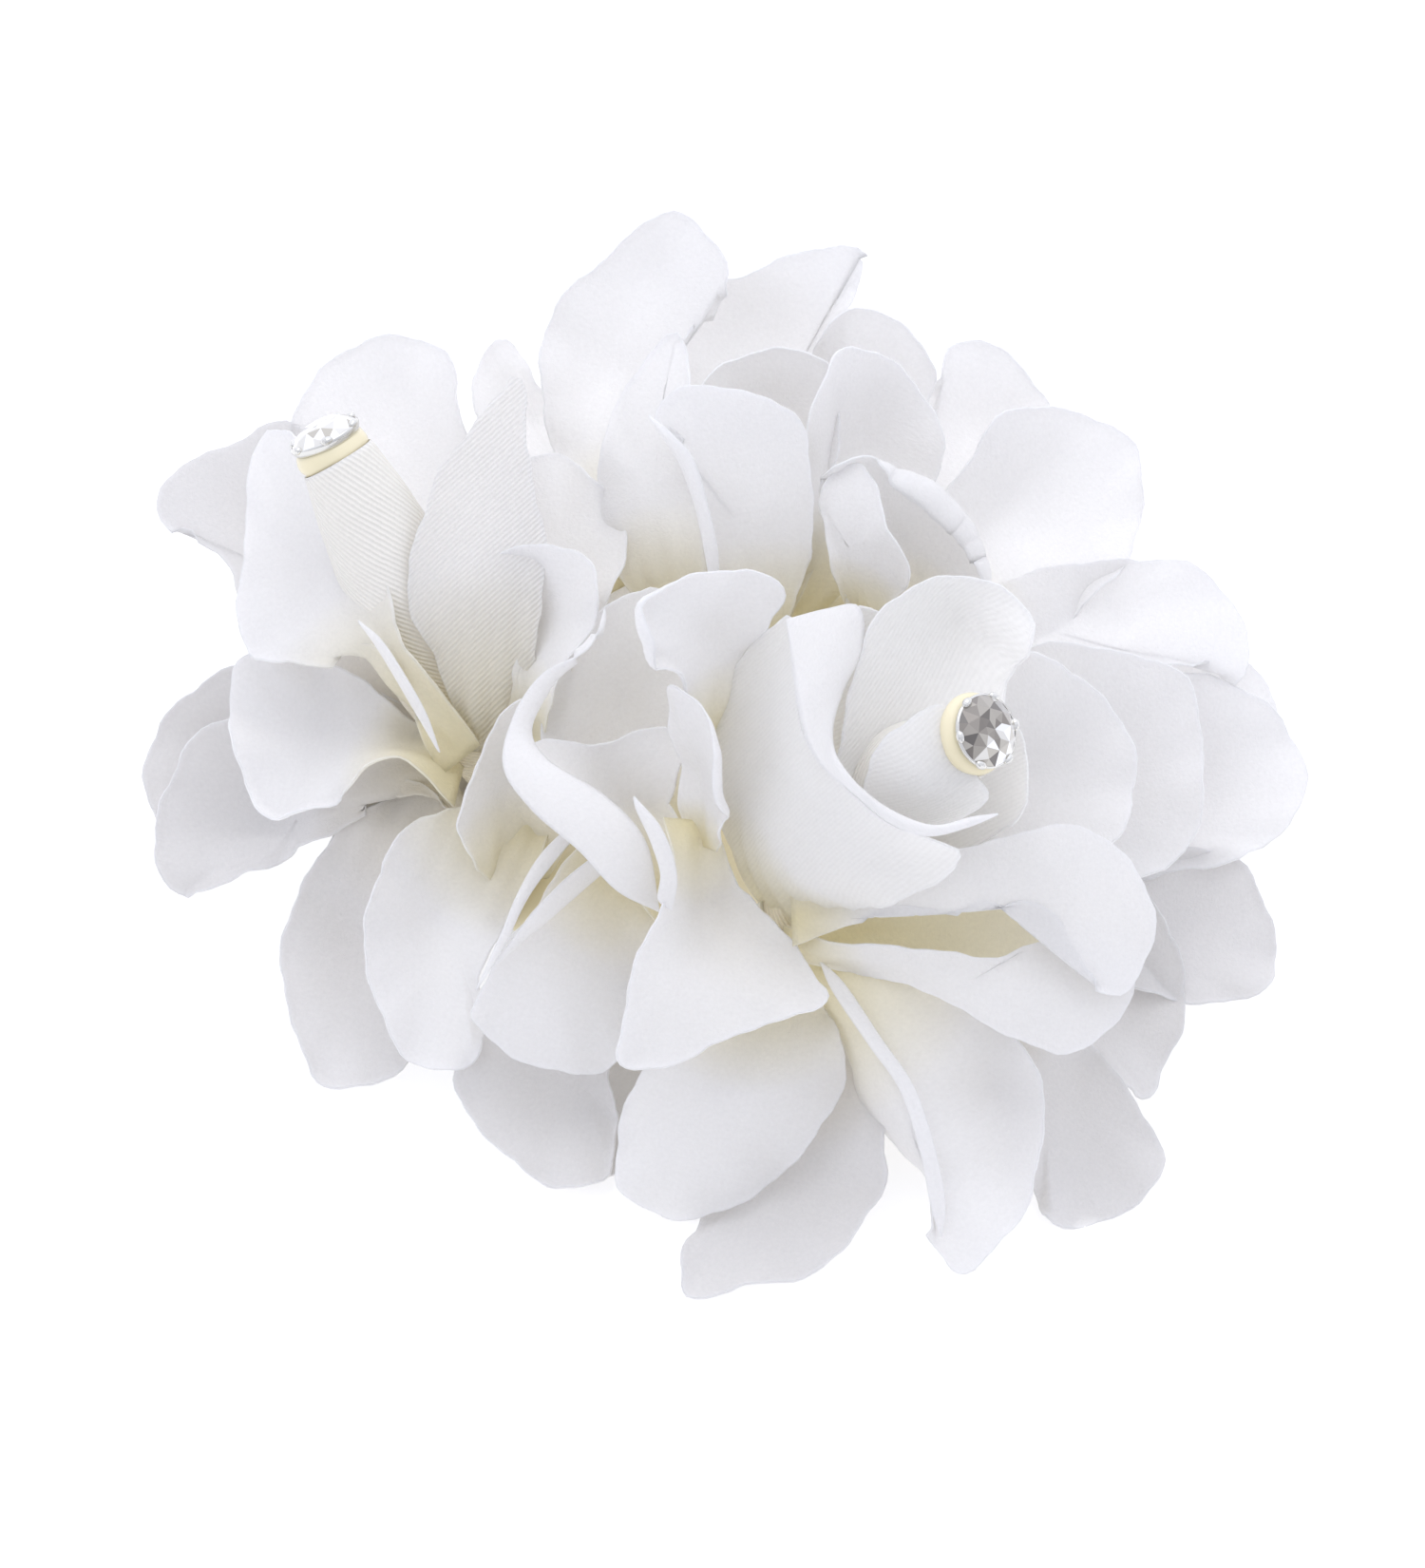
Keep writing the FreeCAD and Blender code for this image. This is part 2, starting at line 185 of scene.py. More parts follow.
def satin(name, face, depth, rib_pitch, rib_bump, glow):
    """Woven polyester satin, die-cut and heat-shaped: a soft sheen over a fine weave, a cream tint deep in
    the flower that is partly the dye and partly painted light (the warm glow and shade where light has
    crossed many layers), painted shade in the twill's grooves, and a pale line along cut edges and folds that
    is partly the sealed cut and partly painted highlight. glow is how much light passes through. rib_pitch in
    mm is the twill's rib, 0 where only the fine weave shows."""
    mat, tree = new_tree(name)
    uv = node(tree, "ShaderNodeUVMap", {"uv_map": "cloth"}).outputs[0]
    edge, deep = attribute(tree, "edge"), attribute(tree, "deep")
    cloud = node(tree, "ShaderNodeTexNoise", None, Vector=uv, Scale=0.09, Detail=3.0).outputs[0]
    grain = node(tree, "ShaderNodeTexNoise", None, Vector=uv, Scale=2.6, Detail=2.0).outputs[0]
    # cream toward the neck by the deep attribute: partly dye, partly painted light, the warm glow and shade
    # deep in the flower
    base = mix_colour(tree, deep, colour(face), colour(depth))
    shade = math_node(tree, "MULTIPLY_ADD", cloud, 0.05, 0.955)
    shade = math_node(tree, "ADD", shade, math_node(tree, "MULTIPLY_ADD", grain, 0.09, -0.045))
    base = darkened(tree, base, shade)
    # a paler line along cut edges and folds: partly the sealed cut, partly painted highlight
    base = mix_colour(tree, math_node(tree, "MULTIPLY", edge, 0.35), base, colour("#FCFCFD"))
    weave = node(tree, "ShaderNodeTexNoise", None, Vector=uv, Scale=3.4, Detail=2.0, Roughness=0.7).outputs[0]
    height = math_node(tree, "MULTIPLY", weave, 0.14)
    if rib_pitch:
        # the twill's diagonal ribs, drawn a little coarser than the yarn so that they read at arm's length
        bands = node(tree, "ShaderNodeTexWave", {"bands_direction": "DIAGONAL", "wave_profile": "SIN"},
                     Vector=uv, Scale=0.7 / rib_pitch, Distortion=0.6, Detail=1.0, i3=1.0)
        height = math_node(tree, "MULTIPLY_ADD", bands.outputs["Fac"], rib_bump, height)
        # painted shade: the base colour darker in the rib grooves
        painted_groove_shade = math_node(tree, "MULTIPLY_ADD", bands.outputs["Fac"], 0.5 * rib_bump, 1 - 0.5 * rib_bump)
        base = darkened(tree, base, painted_groove_shade)
    bump = node(tree, "ShaderNodeBump", None, Strength=0.55, Distance=0.001, Height=height).outputs[0]
    cloth = node(tree, "ShaderNodeBsdfPrincipled", None, Base_Color=base, Roughness=0.62, Normal=bump,
                 Specular_IOR_Level=0.25, Sheen_Weight=0.12, Sheen_Roughness=0.45).outputs[0]
    through = node(tree, "ShaderNodeBsdfTranslucent", None, Color=base, Normal=bump).outputs[0]
    finish_shader(tree, node(tree, "ShaderNodeMixShader", None, i0=glow, i1=cloth, i2=through).outputs[0])
    return mat


def bumpy(name, base, rough, metal, scale, bump_mm, tint, coat=0.0, subsurface=0.0):
    """A solid stuff in object space: a main colour, a second tint in soft clouds and a fine surface grain."""
    mat, tree = new_tree(name)
    spot = node(tree, "ShaderNodeTexCoord").outputs["Object"]
    cloud = node(tree, "ShaderNodeTexNoise", None, Vector=spot, Scale=scale * 120.0, Detail=3.0).outputs[0]
    grain = node(tree, "ShaderNodeTexNoise", None, Vector=spot, Scale=scale * 1000.0, Detail=2.0).outputs[0]
    base = mix_colour(tree, cloud, colour(base), colour(tint))
    rough = math_node(tree, "MULTIPLY_ADD", grain, 0.12, rough - 0.06)
    bump = node(tree, "ShaderNodeBump", None, Strength=0.5, Distance=0.001,
                Height=math_node(tree, "MULTIPLY", grain, bump_mm)).outputs[0]
    finish_shader(tree, node(tree, "ShaderNodeBsdfPrincipled", None, Base_Color=base, Roughness=rough,
                             Metallic=metal, Normal=bump, Coat_Weight=coat,
                             Subsurface_Weight=subsurface, Subsurface_Scale=0.002).outputs[0])
    return mat


def painted_glint_glass(name):
    """A cut crystal's facets, each drawn bright or dark: painted reflections standing in for the foiled back
    seen through the clear crown.
    """
    mat, tree = new_tree(name)
    tone = attribute(tree, "tone")
    ramp = node(tree, "ShaderNodeValToRGB", None, Fac=tone)
    ramp.color_ramp.elements[0].color = colour("#3F3C3B")
    ramp.color_ramp.elements[1].color = colour("#FFFFFF")
    for spot, shade in ((0.3, "#857E76"), (0.6, "#C4BFB4")):
        ramp.color_ramp.elements.new(spot).color = colour(shade)
    finish_shader(tree, node(tree, "ShaderNodeBsdfPrincipled", None, Base_Color=ramp.outputs[0],
                             Roughness=0.12, Metallic=0.3, Coat_Weight=1.0, Coat_Roughness=0.02).outputs[0])
    return mat


def floor_paint(name):
    """A plain white studio floor, lit evenly so that only a soft shade lies under the spray."""
    mat, tree = new_tree(name)
    spot = node(tree, "ShaderNodeTexCoord").outputs["Object"]
    cloud = node(tree, "ShaderNodeTexNoise", None, Vector=spot, Scale=3.0).outputs[0]
    base = mix_colour(tree, cloud, colour("#CFCFD1"), colour("#CACACC"))
    finish_shader(tree, node(tree, "ShaderNodeBsdfPrincipled", None, Base_Color=base, Roughness=0.9,
                             Emission_Color=colour("#FFFFFF"), Emission_Strength=0.55).outputs[0])
    return mat


# ---------------------------------------------------------------- petal making
def smooth_line(points, count):
    """A centripetal Catmull-Rom line through the points, evenly spaced."""
    p = [np.asarray(q, float) for q in points]
    p = [2 * p[0] - p[1]] + p + [2 * p[-1] - p[-2]]
    line = []
    for a, b, c, d in zip(p, p[1:], p[2:], p[3:]):
        t0, t1 = 0.0, max(np.linalg.norm(b - a), 1e-6) ** 0.5
        t2 = t1 + max(np.linalg.norm(c - b), 1e-6) ** 0.5
        t3 = t2 + max(np.linalg.norm(d - c), 1e-6) ** 0.5
        for t in np.linspace(t1, t2, 24, endpoint=False):
            a1 = (t1 - t) / (t1 - t0) * a + (t - t0) / (t1 - t0) * b
            a2 = (t2 - t) / (t2 - t1) * b + (t - t1) / (t2 - t1) * c
            a3 = (t3 - t) / (t3 - t2) * c + (t - t2) / (t3 - t2) * d
            b1 = (t2 - t) / (t2 - t0) * a1 + (t - t0) / (t2 - t0) * a2
            b2 = (t3 - t) / (t3 - t1) * a2 + (t - t1) / (t3 - t1) * a3
            line.append((t2 - t) / (t2 - t1) * b1 + (t - t1) / (t2 - t1) * b2)
    line.append(p[-2])
    line = np.array(line)
    run = np.concatenate([[0], np.cumsum(np.linalg.norm(np.diff(line, axis=0), axis=1))])
    even = np.linspace(0, run[-1], count)
    return np.stack([np.interp(even, run, line[:, k]) for k in range(line.shape[1])], -1), run[-1]


def drape(points, heights, slack=0.02):
    """A thin-plate surface through the given points: a function of flat position that gives the height."""
    p, z = np.asarray(points, float) / 10, np.asarray(heights, float)

    def kernel(a, b):
        d2 = ((a[:, None] - b[None]) ** 2).sum(-1)
        return 0.5 * d2 * np.log(d2 + 1e-9)
    n = len(p)
    flat = np.concatenate([np.ones((n, 1)), p], 1)
    system = np.zeros((n + 3, n + 3))
    system[:n, :n] = kernel(p, p) + slack * np.eye(n)
    system[:n, n:], system[n:, :n] = flat, flat.T
    weights = np.linalg.solve(system, np.concatenate([z, np.zeros(3)]))

    def height(q):
        q = np.asarray(q, float)
        shape = q.shape[:-1]
        q = q.reshape(-1, 2) / 10
        return (kernel(q, p) @ weights[:n] + np.concatenate([np.ones((len(q), 1)), q], 1)
                @ weights[n:]).reshape(shape)
    return height


# steps of a petal's grid: up each side of the spine, round its tip, from the spine out, and across the lip
ROWS, FAN, COLS, LIP_COLS = 26, 44, 14, 6
SEALED_AND_HIGHLIT_EDGE = 0.55       # mm, width of the pale line along a petal's cut edge, partly the sealed cut and partly painted highlight
FOLD_EDGE = 0.5          # mm, the same pale line on a fold, where it is painted highlight along the crease, and on a bud's strip
RIM_WAVES = ((0.16, 2.1), (0.12, 1.1), (0.06, 0.45))   # mm, height and length of the waves in a cut edge


def petal_axes(spec):
    """A petal's directions across, along and out of its own face, with its rim points and belly points."""
    neck, neck_width, side_a, tip, side_b, belly = spec[1:7]
    neck, tip = np.array(neck), np.array(tip)
    a, b, m = (np.array(s, float).reshape(-1, 3) for s in (side_a, side_b, belly))
    e_y = unit(tip - neck)
    across = a.mean(0) - b.mean(0)
    e_x = unit(across - across @ e_y * e_y)
    e_z = np.cross(e_x, e_y)
    e_z = e_z if e_z[2] > 0 else -e_z
    ring = np.concatenate([[neck + e_x * neck_width / 2], a, [tip], b, [neck - e_x * neck_width / 2]])
    return (e_x, e_y, e_z), ring, m


def away_from(centre, rim):
    """The flat directions square to the rim that point away from the centre."""
    tangent = np.gradient(rim, axis=0)
    tangent /= np.linalg.norm(tangent, axis=1)[:, None] + 1e-9
    outward = np.stack([tangent[:, 1], -tangent[:, 0]], -1)
    return -outward if ((rim - centre) * outward).sum() < 0 else outward


def rim_turn(share, swell, roll):
    """How far the rim is turned over at each share of its run, in radians, none at the neck."""
    turn = np.interp(share, [0, .1, .3, .5, .7, .9, 1],
                     np.radians([0, roll[0] * .45, roll[0], roll[1], roll[2], roll[2] * .45, 0]))
    turn = np.convolve(np.pad(turn, 4, mode="edge"), np.ones(9) / 9, "valid")
    return turn * (1 + swell)


def turned_lip(body, e_z, turn, strip, bend, reach):
    """The rim past its hinge line, rolled on an arc: its points, one column after the other."""
    edge_at, inner = body[:, -1], body[:, -3]
    along = np.gradient(edge_at, axis=0)
    along /= np.linalg.norm(along, axis=1)[:, None] + 1e-9
    out3 = edge_at - inner
    up3 = np.cross(along, out3)
    up3 *= np.sign((up3 @ e_z) + 1e-9)[:, None]
    up3 /= np.linalg.norm(up3, axis=1)[:, None] + 1e-9
    out3 = np.cross(up3, along)
    out3 *= np.sign(((edge_at - inner) * out3).sum(1))[:, None]
    scale = (reach / np.where(np.abs(turn) > math.pi / 2, 1 / np.abs(bend),
                              np.sin(np.abs(bend) * strip) / np.abs(bend) + 1e-9))
    lip = []
    for k in range(1, LIP_COLS + 1):
        phi = bend * (strip * k / LIP_COLS)
        lip.append(edge_at + out3 * (np.sin(phi) / bend * scale)[:, None]
                   + up3 * ((1 - np.cos(phi)) / bend * scale)[:, None])
    return np.stack(lip, 1)


def sewn_grid(step, width):
    """Which grid points are kept, when both sides of the spine share theirs, and the faces between them."""
    index = np.zeros((len(step), width), int)
    kept, spine_at = [], {}
    for i, level in enumerate(step):
        for j in range(width):
            if j == 0 and level in spine_at:
                index[i, 0] = spine_at[level]
                continue
            index[i, j] = len(kept)
            if j == 0:
                spine_at[level] = len(kept)
            kept.append((i, j))
    faces = []
    for i in range(len(step) - 1):
        for j in range(width - 1):
            quad = [index[i, j], index[i, j + 1], index[i + 1, j + 1], index[i + 1, j]]
            faces.append([q for n, q in enumerate(quad) if q != quad[n - 1]])
    return tuple(np.array(kept).T), faces


def petal_grid(spec, seed):
    """One cut and shaped petal as points, faces, flat positions and the edge and depth attributes.
    spec: name, neck point and width, one side's points, tip, other side's points, belly points, roll of the
    first side, tip and second side in degrees toward the viewer, roll radius, ruffle, all in mm."""
    neck, tip = np.array(spec[1]), np.array(spec[4])
    roll, roll_radius, ruffle = spec[7:]
    rng = random.Random(seed)
    (e_x, e_y, e_z), ring, belly = petal_axes(spec)

    def flat(p):
        return np.stack([(p - neck) @ e_x, (p - neck) @ e_y], -1)
    known = np.concatenate([ring, belly])
    height = drape(flat(known), (known - neck) @ e_z)

    # the cut edge, laid flat
    count = 2 * ROWS + FAN
    rim, length = smooth_line(flat(ring), count)
    run, share = np.linspace(0, length, count), np.linspace(0, 1, count)
    centre = 0.24 * flat(tip) + 0.6 * rim.mean(0)
    outward = away_from(centre, rim)
    calm = np.clip(np.minimum(share, 1 - share) / 0.12, 0, 1)
    phases = [rng.uniform(0, 6.28) for _ in range(8)]
    wobble = sum(high * np.sin(run / long + phase) for (high, long), phase in zip(RIM_WAVES, phases))
    rim = rim + outward * (wobble * calm)[:, None]

    # the hinge line, from which the rim turns over
    turn = rim_turn(share, 0.22 * np.sin(run / 5.3 + phases[3]) * calm, roll)
    strip = roll_radius * np.maximum(1.0, np.abs(turn))
    bend = np.where(np.abs(turn) < 0.02, 0.02, turn) / strip
    reach = np.where(np.abs(turn) > math.pi / 2, 1 / np.abs(bend), np.sin(np.abs(turn)) / np.abs(bend))
    reach = np.where(np.abs(turn) < 0.02, strip, reach)
    reach = np.minimum(reach, 0.4 * np.linalg.norm(rim - centre, axis=1)) * np.clip(calm + .05, 0, 1)
    hinge = rim - outward * reach[:, None]

    # the body, from the spine to the hinge line, with its ruffle, soft swells and gathers at the neck
    step = np.minimum(np.minimum(np.arange(count), count - 1 - np.arange(count)), ROWS)
    spine = centre[None] * (step / ROWS)[:, None]
    reach_in = 1 - (1 - np.linspace(0, 1, COLS)) ** 1.5
    xy = spine[:, None] + (hinge - spine)[:, None] * reach_in[None, :, None]
    gap = np.linalg.norm(hinge - spine, axis=1)[:, None] * (1 - reach_in)[None]
    z = height(xy)
    near_rim = np.clip(1 - gap / 5.0, 0, 1) ** 1.5 * calm[:, None]
    waves = np.sin(run / 1.75 + phases[4]) + 0.6 * np.sin(run / 1.0 + phases[5])
    z = z + ruffle * near_rim * waves[:, None]
    z = z + 0.22 * np.sin(xy[..., 0] / 2.6 + phases[6]) * np.sin(xy[..., 1] / 3.7 + phases[7])
    neck_far = np.clip(xy[..., 1] / max(0.55 * flat(tip)[1], 1), 0, 1)
    z = z + 0.28 * (1 - neck_far) * np.sin(xy[..., 0] * 2.4 + phases[2]) * np.clip(xy[..., 1] / 2, 0, 1)
    body = neck + xy[..., :1] * e_x + xy[..., 1:] * e_y + z[..., None] * e_z

    grid = np.concatenate([body, turned_lip(body, e_z, turn, strip, bend, reach)], 1)
    lip_flat = [hinge + outward * (strip * k / LIP_COLS)[:, None] for k in range(1, LIP_COLS + 1)]
    uv = np.concatenate([xy, np.stack(lip_flat, 1)], 1)
    from_rim = np.concatenate([gap + strip[:, None],
                               strip[:, None] * (1 - np.arange(1, LIP_COLS + 1) / LIP_COLS)[None]], 1)
    # the pale rim line: partly the sealed cut, partly painted highlight
    edge = np.clip(1 - from_rim / SEALED_AND_HIGHLIT_EDGE, 0, 1)
    # the cream's reach: partly dye, partly painted light and shade deep in the flower
    cream = CREAM_AND_SHADE_REACH.get(spec[0], 0.5) * np.linalg.norm(tip - neck)
    deep = np.clip(1 - np.linalg.norm(uv, axis=-1) / cream, 0, 1)
    kept, faces = sewn_grid(step, grid.shape[1])
    return grid[kept], faces, uv[kept], edge[kept], deep[kept]


def strip_faces(rows, cols):
    """The faces of a plain grid of points, row after row."""
    return [(i * cols + j, i * cols + j + 1, (i + 1) * cols + j + 1, (i + 1) * cols + j)
            for i in range(rows - 1) for j in range(cols - 1)]


def band_grid(spec, seed):
    """A narrow folded band between two edge lines, bowed toward the viewer by its belly value."""
    _, neck, _, side_a, tip, side_b, bow, _, _, ruffle = spec
    rng = random.Random(seed)
    rows, cols = 90, 14
    left, long = smooth_line([neck] + list(side_a) + [tip], rows)
    right, _ = smooth_line([neck] + list(side_b)[::-1] + [tip], rows)
    s, t = np.linspace(0, 1, rows)[:, None], np.linspace(0, 1, cols)[None]
    grid = left[:, None] * (1 - t[..., None]) + right[:, None] * t[..., None]
    width = np.linalg.norm(left - right, axis=1)[:, None]
    along = np.gradient(left + right, axis=0)
    lift = np.cross(along, right - left)
    lift *= np.sign(lift[:, 2:3] + 1e-9)
    lift /= np.linalg.norm(lift, axis=1)[:, None] + 1e-9
    rise = np.minimum(bow * 4 * t * (1 - t) * np.sin(math.pi * s) ** 0.4, 0.6 * width)
    rise = rise + ruffle * np.sin(s * long / 1.6 + rng.uniform(0, 6)) * np.sin(math.pi * s) * t
    grid = grid + lift[:, None] * rise[..., None]
    middle = (left + right) / 2
    run = s * np.linalg.norm(np.diff(middle, axis=0), axis=1).sum() + 0 * t
    flats = np.stack([t * width, run], -1)
    # a pale line along both long edges of the fold: painted highlight, partly the sealed cut where an edge is
    # cut
    edge = np.clip(1 - np.minimum(t, 1 - t) * width / FOLD_EDGE, 0, 1)
    uncreamed = np.zeros(rows * cols)
    return grid.reshape(-1, 3), strip_faces(rows, cols), flats.reshape(-1, 2), edge.ravel(), uncreamed


def petal_groups(layer):
    """A layer's specs, each petal with its folds; a spec with no name is a fold of the petal before it."""
    groups = []
    for spec in PETALS[layer]:
        if spec[0]:
            groups.append([spec])
        else:
            groups[-1].append(spec)
    return groups


def make_petals(layer, cad_node, cloth, slot, thickness, ruffle_share):
    """The petals of one layer, each one sheet with its folds."""
    for number, group in enumerate(petal_groups(layer)):
        name = group[0][0]
        parts, faces, shift = [], [], 0
        for part, spec in enumerate(group):
            spec = spec[:9] + (spec[9] * ruffle_share,)
            shape = petal_grid if isinstance(spec[6], list) else band_grid
            parts.append(shape(spec, f"{layer}{number}{part}"))
            faces += [[i + shift for i in face] for face in parts[-1][1]]
            shift += len(parts[-1][0])
        points, cut_faces, flats, edges, deeps = zip(*parts)
        obj = mesh_object(f"{layer}_{name}", place(np.concatenate(points)), faces, np.concatenate(flats),
                          {"edge": np.concatenate(edges), "deep": np.concatenate(deeps)})
        # listed petals keep the plain satin instead of their layer's copy with painted shade
        thicken(paint(obj, look("petal") if name in UNDARKENED_PETALS else cloth), thickness)
        belongs(obj, "spray", slot, cad_node)
        if name in TURNED_RIMS:
            obj.data.materials.append(look("petal"))
            for polygon in obj.data.polygons[len(cut_faces[0]):]:
                polygon.material_index = 1


# how far the cream runs up a petal, as a share of its length, where it isn't half. The cream is partly
# dye and partly painted light: the warm shade deep between petals, and on slot_back the painted shade
# inside the slot.
CREAM_AND_SHADE_REACH = {"slot_back": 1.6, "lip_upper": 0.2, "lip_petal": 0.25, "spoon": 0.35, "standing_leaf": 0.3,
               "outer_front": 0.42}
TURNED_RIMS = {"outer_front"}   # twill outside, its fold showing the smooth back
UNDARKENED_PETALS = {"thin_curl", "wide_side", "wide_side_back"}   # these keep the plain smooth satin, not the darker copy that paints shade on their layer
